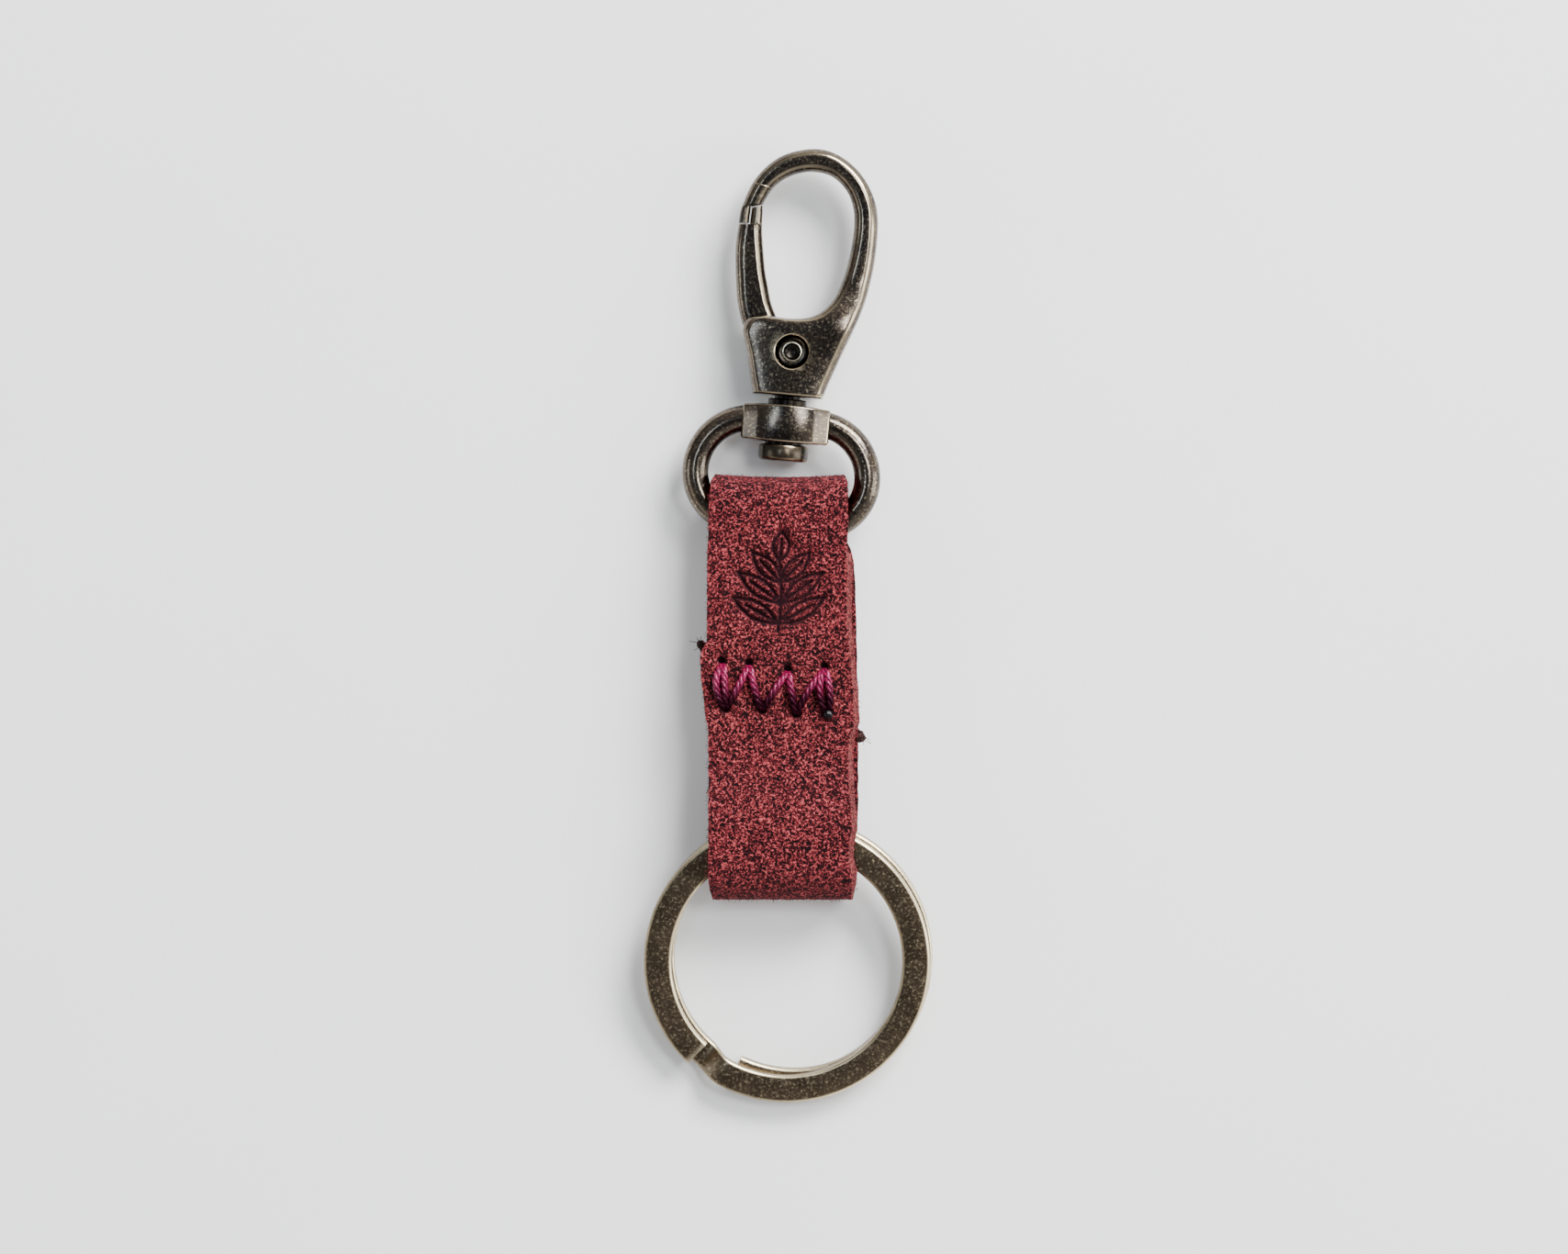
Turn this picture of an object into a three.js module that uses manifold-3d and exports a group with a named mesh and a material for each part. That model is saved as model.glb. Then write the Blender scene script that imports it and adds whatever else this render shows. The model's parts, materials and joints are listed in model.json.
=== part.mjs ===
// A key fob: a suede strap folded through a swivel snap hook at one end and a split ring at the other.
// It lies on its back on the plane z = 0, with the hook towards +Y and the ring towards -Y. Millimetres.
import * as THREE from "three";
import { mergeVertices } from "three/addons/utils/BufferGeometryUtils.js";
import Module from "manifold-3d";

const wasm = await Module();
wasm.setup();

// ---- driving dimensions ----

// Strap: one strip of suede. Its two ends lie on the back, one over the other, and are sewn through.
const LEATHER = 1.4;
const STRAP_LEFT = -8.2;
const STRAP_RIGHT = 7.1;
const NECK = { left: -7.8, right: 5.85, bottom: 6.8, slope: 1.5 }; // the narrower end that the loop turns in
const FOLD_TOP_Y = 15.96;
const FOLD_BOTTOM_Y = -28.65;
const HOOK_EYE_RADIUS = 2.45; // inside the upper fold
const RING_EYE_RADIUS = 3.5; // inside the lower fold
const LAYER_GAP = 0.1;
const HOOK_FLAP_END_Y = -11.6; // where the end that comes from the hook stops
const RING_FLAP_END_Y = -2.0; // where the end that comes from the ring stops

// Swivel loop: a D of round wire with a bored collar. The loop and hook lean over in the strap.
const LEAN_DEG = -5;
const LOOP_CENTRE = [-0.59, 15.8];
const WIRE_RADIUS = 1.39;
const LOOP_HALF_WIDTH = 9.04; // to the wire's centre
const SHOULDER_RADIUS = 5.74;
const HEEL_RADIUS = 5.2;
const COLLAR_HALF_WIDTH = 4.6;
const COLLAR_BOTTOM = 3.55;
const COLLAR_TOP = 7.15;
const COLLAR_HALF_DEPTH = 3.2;
const COLLAR_BORE = 2.15;

// Swivel stud: its head is under the collar and its spigot is fixed in the hook.
const STUD_HEAD = { radius: 2.6, bottom: 1.5, top: 3.2 };
const STUD_SHANK = { radius: 2.05, top: 8.0 };
const STUD_SPIGOT = { radius: 1.4, top: 9.6 };
const FIT_GAP = 0.3;

// Hook: a cast bar that grows into a slotted body.
const BAR_HALF_DEPTH = 1.75;
const BODY_HALF_DEPTH = 2.8;
const BODY_BOTTOM = 8.3;
const SLOT_HALF_DEPTH = 1.6;
const EDGE_BEVEL = 0.4;

// Gate, its rivet and its spring.
const PIVOT = [0, 12.93];
const GATE_HALF_DEPTH = 1.4;
const GATE_BOSS = 2.3;
const GATE_BEVEL = 0.3;
const FORK_HALF_DEPTH = 0.75;
const FORK_REACH = 3.6;
const RIVET = { shaft: 0.9, crown: 1.0, dimple: 0.62, head: 1.45, recess: 1.82, recessDepth: 0.75 };
const SPRING = { coil: 1.42, wire: 0.17, pitch: 0.4, turns: 2.5, leg: 1.55 };

// Split ring: flat wire wound nearly twice round, with one joggle from the front turn to the back turn.
const RING_RADIUS = 15;
const RING_WIRE_WIDTH = 2.9;
const RING_WIRE_DEPTH = 1.25;
const RING_TURN_GAP = 0.1;
const RING_AXIS_Y = -23.2;
const RING_CENTRE_Y = -35.17;
const RING_START_DEG = 226;
const RING_JOGGLE_DEG = [-116, -131]; // the wire goes clockwise from the start, so its angle falls
const RING_END_DEG = -475.5;

// Thread: a zigzag through both faces, from hole to hole, with a knotted tail at each edge.
const THREAD_RADIUS = 0.4;
const THREAD_HOLE_RADIUS = 0.75;
const THREAD_HOLES = [
  [-6.83, -3.65],
  [-6.25, -8.56],
  [-4.13, -3.94],
  [-2.5, -8.75],
  [0.1, -4.52],
  [1.06, -9.13],
  [3.85, -4.33],
  [4.23, -9.13],
];
const KNOT_RADIUS = 0.6;
const TAILS = [
  { bend: [-8.75, -3.5], knot: [-9.5, -2.0, 4.6] },
  { bend: [7.85, -10.6], knot: [7.85, -11.6, 4.6] },
];

// ---- heights worked out from them ----
const HALF_LEATHER = LEATHER / 2;
const LAYER_STEP = LEATHER + LAYER_GAP;
const HOOK_EYE_Z = HOOK_EYE_RADIUS + LEATHER;
const RING_EYE_Z = RING_EYE_RADIUS + LEATHER;
const FRONT_Z = 2 * HOOK_EYE_Z - HALF_LEATHER; // middle of the front layer
const MIDDLE_Z = FRONT_Z - LAYER_STEP;
const BACK_Z = MIDDLE_Z - LAYER_STEP;
const RING_HALF_DEPTH = RING_WIRE_DEPTH + RING_TURN_GAP / 2;
const RING_REACH = RING_RADIUS + RING_AXIS_Y - RING_CENTRE_Y;
const FLOOR_CLEARANCE = 0.02;

// The ring droops from its eye until its far edge is just above the floor.
function ringDroop() {
  const drop = RING_EYE_Z - FLOOR_CLEARANCE;
  const reach = Math.hypot(RING_REACH, RING_HALF_DEPTH);
  return Math.asin(drop / reach) - Math.atan2(RING_HALF_DEPTH, RING_REACH);
}

// ---- materials ----
function metal(name, color, roughness) {
  return new THREE.MeshStandardMaterial({ name, color, roughness, metalness: 1 });
}

const antiqueBrass = metal("antique_brass", 0x5a4a38, 0.35);
const springSteel = metal("spring_steel", 0x9a9a9a, 0.3);
const suede = new THREE.MeshStandardMaterial({ name: "suede", color: 0x9c3c40, roughness: 0.95 });
const waxedThread = new THREE.MeshStandardMaterial({ name: "thread", color: 0x7a1e48, roughness: 0.5 });

// ---- solids ----
function toSolid(geometry) {
  const bare = geometry.index ? geometry.toNonIndexed() : geometry.clone();
  bare.deleteAttribute("normal");
  bare.deleteAttribute("uv");
  const merged = mergeVertices(bare, 1e-4);
  return new wasm.Manifold(
    new wasm.Mesh({
      numProp: 3,
      vertProperties: merged.attributes.position.array,
      triVerts: new Uint32Array(merged.index.array),
    }),
  );
}

function toGeometry(solid) {
  const mesh = solid.getMesh();
  const geometry = new THREE.BufferGeometry();
  geometry.setAttribute("position", new THREE.BufferAttribute(new Float32Array(mesh.vertProperties), 3));
  geometry.setIndex(new THREE.BufferAttribute(new Uint32Array(mesh.triVerts), 1));
  geometry.computeVertexNormals();
  return geometry;
}

function join(...geometries) {
  return geometries.map(toSolid).reduce((whole, piece) => whole.add(piece));
}

function cut(solid, ...geometries) {
  return geometries.reduce((rest, tool) => rest.subtract(toSolid(tool)), solid);
}

function points2(list) {
  return list.map(([x, y]) => new THREE.Vector2(x, y));
}

// A flat shape made into a plate whose mid-plane is z = 0, with its edges bevelled inside the outline.
function plate(shape, halfDepth, bevel, curveSegments = 8) {
  const geometry = new THREE.ExtrudeGeometry(shape, {
    depth: 2 * (halfDepth - bevel),
    bevelEnabled: bevel > 0,
    bevelSize: bevel,
    bevelThickness: bevel,
    bevelOffset: -bevel,
    bevelSegments: 1,
    curveSegments,
  });
  return geometry.translate(0, 0, bevel - halfDepth);
}

// A round bar between two points.
function rod(from, to, radius, sides = 8) {
  const start = new THREE.Vector3(...from);
  const end = new THREE.Vector3(...to);
  const along = end.clone().sub(start);
  const turn = new THREE.Quaternion().setFromUnitVectors(new THREE.Vector3(0, 1, 0), along.clone().normalize());
  return new THREE.CylinderGeometry(radius, radius, along.length(), sides)
    .applyQuaternion(turn)
    .translate(...start.add(end).multiplyScalar(0.5));
}

function ball(centre, radius) {
  return new THREE.SphereGeometry(radius, 8, 5).translate(...centre);
}

// A turned piece whose axis is +Y, from [radius, height] points.
function turned(profile, segments) {
  return new THREE.LatheGeometry(
    profile.map(([r, y]) => new THREE.Vector2(r, y)),
    segments,
  );
}

function named(name, solidOrGeometry, material) {
  const geometry = solidOrGeometry.isBufferGeometry ? solidOrGeometry : toGeometry(solidOrGeometry);
  const mesh = new THREE.Mesh(geometry, material);
  mesh.name = name;
  return mesh;
}

// ---- strap ----

// Points from one height to another with level ends, as leather lies between an eye and the sewn part.
function easedRise(fromY, fromZ, toY, toZ, steps = 7) {
  const points = [];
  for (let i = 0; i <= steps; i++) {
    const t = i / steps;
    const ease = t * t * (3 - 2 * t);
    points.push([fromY + (toY - fromY) * t, fromZ + (toZ - fromZ) * ease]);
  }
  return points;
}

function halfTurn(y, z, radius, fromDeg, toDeg, steps = 14) {
  const points = [];
  for (let i = 0; i <= steps; i++) {
    const angle = THREE.MathUtils.degToRad(fromDeg + ((toDeg - fromDeg) * i) / steps);
    points.push([y + radius * Math.cos(angle), z + radius * Math.sin(angle)]);
  }
  return points;
}

// The middle line of the strip in side view, as [y, z], from the hook end's flap round to the ring end's flap.
function stripMiddleLine() {
  const hookArc = HOOK_EYE_RADIUS + HALF_LEATHER;
  const hookArcY = FOLD_TOP_Y - HOOK_EYE_Z;
  const ringArc = RING_EYE_RADIUS + HALF_LEATHER;
  const ringArcY = FOLD_BOTTOM_Y + RING_EYE_Z;
  const ringFrontZ = RING_EYE_Z + ringArc;
  const hookEyeEnd = hookArcY - 1.6;
  const ringEyeEnd = ringArcY + 1.9;
  const hookGlueLine = hookEyeEnd - 6.6;
  const ringSpread = -12.7;
  return [
    [HOOK_FLAP_END_Y, MIDDLE_Z],
    ...easedRise(hookGlueLine, MIDDLE_Z, hookEyeEnd, HALF_LEATHER),
    ...halfTurn(hookArcY, HOOK_EYE_Z, hookArc, -90, 90),
    ...easedRise(ringSpread, FRONT_Z, ringEyeEnd, ringFrontZ),
    ...halfTurn(ringArcY, RING_EYE_Z, ringArc, 90, 270),
    ...easedRise(ringEyeEnd, HALF_LEATHER, ringSpread, BACK_Z),
    [RING_FLAP_END_Y, BACK_Z],
  ];
}

// The closed outline of a strip of even thickness about its middle line.
function stripOutline(line, halfThickness) {
  const left = [];
  const right = [];
  line.forEach(([y, z], i) => {
    const [y0, z0] = line[Math.max(i - 1, 0)];
    const [y1, z1] = line[Math.min(i + 1, line.length - 1)];
    const length = Math.hypot(y1 - y0, z1 - z0);
    const ny = (-(z1 - z0) / length) * halfThickness;
    const nz = ((y1 - y0) / length) * halfThickness;
    left.push(new THREE.Vector2(y + ny, z + nz));
    right.unshift(new THREE.Vector2(y - ny, z - nz));
  });
  return new THREE.Shape([...left, ...right]);
}

// What is trimmed off one side of the strip to make its neck.
function neckTrim(edge, side) {
  const { bottom, slope } = NECK;
  const outside = edge + side * 3;
  const shape = new THREE.Shape(
    points2([
      [edge, bottom],
      [edge, FOLD_TOP_Y + 2],
      [outside, FOLD_TOP_Y + 2],
      [outside, bottom - slope * 3],
    ]),
  );
  return plate(shape, 12, 0);
}

// The strip is drawn in side view and extruded across its width.
function makeStrap() {
  const strip = new THREE.ExtrudeGeometry(stripOutline(stripMiddleLine(), HALF_LEATHER), {
    depth: STRAP_RIGHT - STRAP_LEFT,
    bevelEnabled: false,
  });
  strip.applyMatrix4(new THREE.Matrix4().set(0, 0, 1, STRAP_LEFT, 1, 0, 0, 0, 0, 1, 0, 0, 0, 0, 0, 1));
  const holes = THREAD_HOLES.map(([x, y]) => rod([x, y, 0], [x, y, FRONT_Z + LEATHER], THREAD_HOLE_RADIUS, 10));
  const trims = [neckTrim(NECK.left, -1), neckTrim(NECK.right, 1)];
  return named("leather_strap", cut(toSolid(strip), ...holes, ...trims), suede);
}

function makeThread() {
  const frontZ = FRONT_Z + HALF_LEATHER + THREAD_RADIUS + LAYER_GAP;
  const backZ = BACK_Z - HALF_LEATHER - THREAD_RADIUS - LAYER_GAP;
  const runs = [];
  THREAD_HOLES.forEach(([x, y], i) => {
    runs.push(rod([x, y, backZ], [x, y, frontZ], THREAD_RADIUS));
    runs.push(ball([x, y, frontZ], THREAD_RADIUS));
    runs.push(ball([x, y, backZ], THREAD_RADIUS));
    const next = THREAD_HOLES[i + 1];
    if (next) {
      runs.push(rod([x, y, frontZ], [...next, frontZ], THREAD_RADIUS));
      runs.push(rod([x, y, backZ], [...next, backZ], THREAD_RADIUS));
    }
  });
  const ends = [THREAD_HOLES[0], THREAD_HOLES[THREAD_HOLES.length - 1]];
  TAILS.forEach(({ bend, knot }, i) => {
    const low = [...bend, backZ];
    const high = [...bend, knot[2]];
    runs.push(rod([...ends[i], backZ], low, THREAD_RADIUS));
    runs.push(ball(low, THREAD_RADIUS));
    runs.push(rod(low, high, THREAD_RADIUS));
    runs.push(ball(high, THREAD_RADIUS));
    runs.push(rod(high, knot, THREAD_RADIUS));
    runs.push(ball(knot, KNOT_RADIUS));
  });
  return named("stitch_thread", join(...runs), waxedThread);
}

// ---- swivel loop and stud, in the loop's own frame: its centre is the origin and +Y is the swivel axis ----

class LoopWire extends THREE.Curve {
  constructor() {
    super();
    this.path = new THREE.CurvePath();
    const shoulderX = LOOP_HALF_WIDTH - SHOULDER_RADIUS;
    const heelX = LOOP_HALF_WIDTH - HEEL_RADIUS;
    const arc = (x, radius, from, to) => new THREE.EllipseCurve(x, 0, radius, radius, from, to, true);
    const inside = COLLAR_HALF_WIDTH - 1.6;
    const top = SHOULDER_RADIUS;
    this.path.add(new THREE.LineCurve(new THREE.Vector2(inside, top), new THREE.Vector2(shoulderX, top)));
    this.path.add(arc(shoulderX, SHOULDER_RADIUS, Math.PI / 2, 0));
    this.path.add(arc(heelX, HEEL_RADIUS, 0, -Math.PI / 2));
    this.path.add(
      new THREE.LineCurve(new THREE.Vector2(heelX, -HEEL_RADIUS), new THREE.Vector2(-heelX, -HEEL_RADIUS)),
    );
    this.path.add(arc(-heelX, HEEL_RADIUS, -Math.PI / 2, -Math.PI));
    this.path.add(arc(-shoulderX, SHOULDER_RADIUS, Math.PI, Math.PI / 2));
    this.path.add(new THREE.LineCurve(new THREE.Vector2(-shoulderX, top), new THREE.Vector2(-inside, top)));
  }

  getPoint(t) {
    const p = this.path.getPoint(t);
    return new THREE.Vector3(p.x, p.y, 0);
  }
}

function roundSection(radius, sides) {
  const points = [];
  for (let i = 0; i < sides; i++) {
    const angle = (2 * Math.PI * i) / sides;
    points.push(new THREE.Vector2(radius * Math.cos(angle), radius * Math.sin(angle)));
  }
  return new THREE.Shape(points);
}

// The collar seen along the swivel axis: a gently curved front and back, with a facet down to the wire.
function collarSection() {
  const faceX = 3.2;
  const faceZ = 2.35;
  const sideZ = 1.5;
  const shape = new THREE.Shape();
  shape.moveTo(COLLAR_HALF_WIDTH, -sideZ);
  shape.lineTo(COLLAR_HALF_WIDTH, sideZ);
  shape.lineTo(faceX, faceZ);
  shape.quadraticCurveTo(0, 2 * COLLAR_HALF_DEPTH - faceZ, -faceX, faceZ);
  shape.lineTo(-COLLAR_HALF_WIDTH, sideZ);
  shape.lineTo(-COLLAR_HALF_WIDTH, -sideZ);
  shape.lineTo(-faceX, -faceZ);
  shape.quadraticCurveTo(0, faceZ - 2 * COLLAR_HALF_DEPTH, faceX, -faceZ);
  shape.closePath();
  return shape;
}

function makeLoop() {
  const wire = new THREE.ExtrudeGeometry(roundSection(WIRE_RADIUS, 12), {
    steps: 56,
    bevelEnabled: false,
    extrudePath: new LoopWire(),
  });
  const halfHeight = (COLLAR_TOP - COLLAR_BOTTOM) / 2;
  const collar = plate(collarSection(), halfHeight, 0.25, 6)
    .rotateX(-Math.PI / 2)
    .translate(0, COLLAR_BOTTOM + halfHeight, 0);
  const bore = rod([0, COLLAR_BOTTOM - 1, 0], [0, COLLAR_TOP + 1, 0], COLLAR_BORE, 32);
  return named("swivel_loop", cut(join(wire, collar), bore), antiqueBrass);
}

function makeStud() {
  const { radius, bottom, top } = STUD_HEAD;
  const chamfer = 0.3;
  return named(
    "swivel_stud",
    turned(
      [
        [0, bottom],
        [radius - chamfer, bottom],
        [radius, bottom + chamfer],
        [radius, top],
        [STUD_SHANK.radius, top],
        [STUD_SHANK.radius, STUD_SHANK.top],
        [STUD_SPIGOT.radius, STUD_SHANK.top],
        [STUD_SPIGOT.radius, STUD_SPIGOT.top],
        [0, STUD_SPIGOT.top],
      ],
      32,
    ),
    antiqueBrass,
  );
}

// ---- hook, in the loop's frame ----

// The bar, from its lip over the top and down into the body. The nose is stepped to hold the gate's tip.
function barShape() {
  const shape = new THREE.Shape();
  shape.moveTo(-5.7, 26.3);
  shape.lineTo(-6.75, 26.15);
  shape.lineTo(-6.68, 27.1);
  shape.splineThru(
    points2([
      [-6.4, 28.4],
      [-5.5, 30.65],
      [-3.7, 32.8],
      [-1.1, 34.12],
      [1.5, 34.42],
      [4.0, 33.5],
      [6.2, 31.5],
      [7.5, 29.0],
      [7.88, 25.9],
      [7.75, 22.2],
      [7.2, 18.6],
      [6.1, 15.4],
    ]),
  );
  shape.lineTo(2.0, 14.6);
  shape.lineTo(1.9, 16.9);
  shape.splineThru(
    points2([
      [3.55, 18.3],
      [4.6, 21.0],
      [5.2, 24.3],
      [5.3, 27.3],
      [4.7, 29.7],
      [3.3, 31.35],
      [1.3, 31.98],
      [-1.1, 31.6],
      [-3.0, 30.4],
      [-3.9, 29.15],
    ]),
  );
  shape.lineTo(-4.28, 28.15);
  shape.lineTo(-5.65, 27.75);
  shape.closePath();
  return shape;
}

function bodyShape() {
  const shape = new THREE.Shape();
  shape.moveTo(-3.4, BODY_BOTTOM);
  shape.lineTo(3.2, BODY_BOTTOM);
  shape.lineTo(3.75, 8.95);
  shape.lineTo(4.9, 12.0);
  shape.lineTo(6.2, 15.6);
  shape.lineTo(7.0, 17.9);
  shape.lineTo(5.6, 18.6);
  shape.quadraticCurveTo(3.4, 16.4, 0.5, 16.45);
  shape.lineTo(-4.0, 16.6);
  shape.quadraticCurveTo(-5.6, 16.3, -5.5, 15.1);
  shape.lineTo(-4.6, 12.1);
  shape.lineTo(-3.9, 8.8);
  shape.closePath();
  return shape;
}

// The room between the cheeks that the gate's boss and arm turn in.
function slotShape() {
  const [x, y] = PIVOT;
  const radius = GATE_BOSS + FIT_GAP;
  const shape = new THREE.Shape();
  shape.moveTo(-7.5, 20);
  shape.lineTo(-7.5, 12.4);
  shape.lineTo(-4.9, 12.4);
  shape.lineTo(x - radius * Math.cos(0.75), y - radius * Math.sin(0.75));
  shape.absarc(x, y, radius, Math.PI + 0.75, 2 * Math.PI, false);
  shape.lineTo(x + radius, 14.6);
  shape.lineTo(1.3, 16.0);
  shape.lineTo(1.3, 20);
  shape.closePath();
  return shape;
}

function rivetRecess(side) {
  const { recess, recessDepth, shaft } = RIVET;
  const floor = BODY_HALF_DEPTH - recessDepth;
  const mouth = BODY_HALF_DEPTH + FIT_GAP;
  const inner = shaft + FIT_GAP;
  const profile = [
    [0, floor],
    [inner + 0.2, floor],
    [recess, BODY_HALF_DEPTH],
    [recess, mouth],
    [0, mouth],
  ];
  return turned(profile, 24)
    .rotateX((side * Math.PI) / 2)
    .translate(...PIVOT, 0);
}

function makeHookBody() {
  const bar = plate(barShape(), BAR_HALF_DEPTH, EDGE_BEVEL, 3);
  const body = plate(bodyShape(), BODY_HALF_DEPTH, EDGE_BEVEL, 6);
  const slot = plate(slotShape(), SLOT_HALF_DEPTH, 0, 10);
  const rivetBore = rod([...PIVOT, -4], [...PIVOT, 4], RIVET.shaft + 0.1, 24);
  const studBore = rod(
    [0, BODY_BOTTOM - 1, 0],
    [0, STUD_SPIGOT.top + FIT_GAP, 0],
    STUD_SPIGOT.radius + FIT_GAP,
    24,
  );
  const solid = cut(join(bar, body), slot, rivetBore, studBore, rivetRecess(1), rivetRecess(-1));
  return named("hook_body", solid, antiqueBrass);
}

// ---- gate, rivet and spring, in the loop's frame ----

function gateShape() {
  const [x, y] = PIVOT;
  const shape = new THREE.Shape();
  shape.moveTo(-5.5, 25.75);
  shape.lineTo(-6.72, 25.65);
  shape.lineTo(-6.83, 24.8);
  shape.splineThru(
    points2([
      [-6.86, 23.6],
      [-6.7, 21.4],
      [-6.2, 17.9],
      [-5.5, 15.6],
      [-4.2, 13.9],
    ]),
  );
  shape.lineTo(x - GATE_BOSS * Math.cos(0.3), y - GATE_BOSS * Math.sin(0.3));
  shape.absarc(x, y, GATE_BOSS, Math.PI + 0.3, 2 * Math.PI + 0.9, false);
  shape.lineTo(-1.7, 15.9);
  shape.splineThru(
    points2([
      [-2.6, 17.8],
      [-3.5, 21.0],
      [-4.1, 24.5],
      [-4.28, 26.2],
    ]),
  );
  shape.lineTo(-4.32, 27.55);
  shape.lineTo(-5.45, 27.2);
  shape.closePath();
  return shape;
}

function makeGate() {
  const arm = plate(gateShape(), GATE_HALF_DEPTH, GATE_BEVEL, 3);
  const fork = rod([...PIVOT, -FORK_HALF_DEPTH], [...PIVOT, FORK_HALF_DEPTH], FORK_REACH, 32);
  const bore = rod([...PIVOT, -3], [...PIVOT, 3], RIVET.shaft + 0.1, 24);
  return named("gate", cut(toSolid(arm), fork, bore), antiqueBrass);
}

// A rivet with a flat head at the back and a dimpled crown at the front.
function makeRivet() {
  const { shaft, crown, dimple, head, recessDepth } = RIVET;
  const floor = BODY_HALF_DEPTH - recessDepth;
  const headFrom = -(floor + 0.15);
  const tip = floor + 0.5;
  const geometry = turned(
    [
      [0, -BODY_HALF_DEPTH],
      [head - 0.35, -BODY_HALF_DEPTH],
      [head - 0.35, headFrom],
      [shaft, headFrom],
      [shaft, floor + 0.1],
      [crown, floor + 0.15],
      [crown, tip - 0.1],
      [crown - 0.12, tip],
      [dimple, tip],
      [dimple - 0.2, tip - 0.5],
      [0, tip - 0.65],
    ],
    24,
  );
  geometry.rotateX(Math.PI / 2).translate(...PIVOT, 0);
  return named("gate_rivet", geometry, antiqueBrass);
}

// A few turns about the rivet between the gate's ears, with a straight leg at each end.
class SpringWire extends THREE.Curve {
  getPoint(t) {
    const { coil, pitch, turns, leg } = SPRING;
    const sweep = turns * 2 * Math.PI;
    const total = sweep * coil + 2 * leg;
    const s = t * total - leg;
    const angle = THREE.MathUtils.clamp(s / coil, 0, sweep);
    const past = s - angle * coil;
    const start = THREE.MathUtils.degToRad(-20);
    const a = start + angle;
    return new THREE.Vector3(
      coil * Math.cos(a) - past * Math.sin(a),
      coil * Math.sin(a) + past * Math.cos(a),
      (angle / sweep - 0.5) * pitch * turns,
    );
  }
}

function makeSpring() {
  const geometry = new THREE.ExtrudeGeometry(roundSection(SPRING.wire, 6), {
    steps: 60,
    bevelEnabled: false,
    extrudePath: new SpringWire(),
  });
  return named("gate_spring", geometry.translate(...PIVOT, 0), springSteel);
}

// ---- split ring, in its own frame: the origin is on its swing axis, above the strap's lower fold ----

// A straight bar of the wire's section is bent round: its length becomes an angle, and it drops at the joggle.
function makeRing() {
  const steps = 150;
  const chamfer = 0.22;
  const halfWidth = RING_WIRE_WIDTH / 2;
  const halfDepth = RING_WIRE_DEPTH / 2;
  const section = new THREE.Shape(
    points2([
      [-halfWidth, -halfDepth],
      [halfWidth, -halfDepth],
      [halfWidth, halfDepth - chamfer],
      [halfWidth - chamfer, halfDepth],
      [chamfer - halfWidth, halfDepth],
      [-halfWidth, halfDepth - chamfer],
    ]),
  );
  const geometry = new THREE.ExtrudeGeometry(section, { depth: 1, steps, bevelEnabled: false });
  const position = geometry.attributes.position;
  const middleRadius = RING_RADIUS - halfWidth;
  const layer = halfDepth + RING_TURN_GAP / 2;
  const [joggleFrom, joggleTo] = RING_JOGGLE_DEG;
  for (let i = 0; i < position.count; i++) {
    const along = position.getZ(i);
    const degrees = RING_START_DEG + (RING_END_DEG - RING_START_DEG) * along;
    const angle = THREE.MathUtils.degToRad(degrees);
    const radius = middleRadius + position.getX(i);
    const ramp = THREE.MathUtils.smoothstep(-degrees, -joggleFrom, -joggleTo);
    const z = layer * (1 - 2 * ramp) + position.getY(i);
    position.setXYZ(i, radius * Math.cos(angle), radius * Math.sin(angle) + RING_CENTRE_Y - RING_AXIS_Y, z);
  }
  return named("split_ring", toSolid(geometry), antiqueBrass);
}

// ---- the whole fob ----

function makeFob() {
  const fob = new THREE.Group();
  fob.add(makeStrap(), makeThread());

  const swivel = new THREE.Group();
  swivel.position.set(...LOOP_CENTRE, HOOK_EYE_Z);
  swivel.rotation.z = THREE.MathUtils.degToRad(LEAN_DEG);
  swivel.add(makeLoop(), makeStud(), makeHookBody(), makeGate(), makeRivet(), makeSpring());
  fob.add(swivel);

  const ring = new THREE.Group();
  ring.position.set(0, RING_AXIS_Y, RING_EYE_Z);
  ring.rotation.x = ringDroop();
  ring.add(makeRing());
  fob.add(ring);
  return fob;
}

export default makeFob();
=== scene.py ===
# %% [markdown]
# # A key fob, modelled piece by piece
# The fob is a suede strap folded through a swivel snap hook at one end and a split ring at the other.
# The measured model comes in first and stays as the frame. Each new piece is then built where that
# frame says, given its finish, and made to ride on the part of the frame that it moves with.

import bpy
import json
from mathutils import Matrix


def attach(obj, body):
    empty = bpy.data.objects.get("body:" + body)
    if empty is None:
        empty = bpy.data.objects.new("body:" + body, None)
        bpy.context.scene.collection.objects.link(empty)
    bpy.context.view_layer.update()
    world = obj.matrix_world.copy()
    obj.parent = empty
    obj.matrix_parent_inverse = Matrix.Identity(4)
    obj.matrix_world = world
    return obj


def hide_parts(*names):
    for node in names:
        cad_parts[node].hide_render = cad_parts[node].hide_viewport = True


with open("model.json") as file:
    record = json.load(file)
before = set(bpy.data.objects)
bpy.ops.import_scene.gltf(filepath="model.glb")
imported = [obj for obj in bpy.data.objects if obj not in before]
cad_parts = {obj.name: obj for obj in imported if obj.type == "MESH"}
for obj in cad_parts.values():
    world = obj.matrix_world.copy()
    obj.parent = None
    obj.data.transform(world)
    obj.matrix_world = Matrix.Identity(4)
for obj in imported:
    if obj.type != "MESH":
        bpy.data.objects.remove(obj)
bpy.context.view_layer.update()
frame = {"nodes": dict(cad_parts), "record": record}
print("frame:", ", ".join(sorted(frame["nodes"])))

# %% [markdown]
# ## Where things are
# Small things are easier to shape in millimetres about their own centre, and are then brought down to
# metres and set in place. The hook and its loop lean over together, so they share one placing matrix,
# read from the swivel's own axis. The ring has another, read from the axis it swings on.

# %% Places
import json
import math
import random

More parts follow.
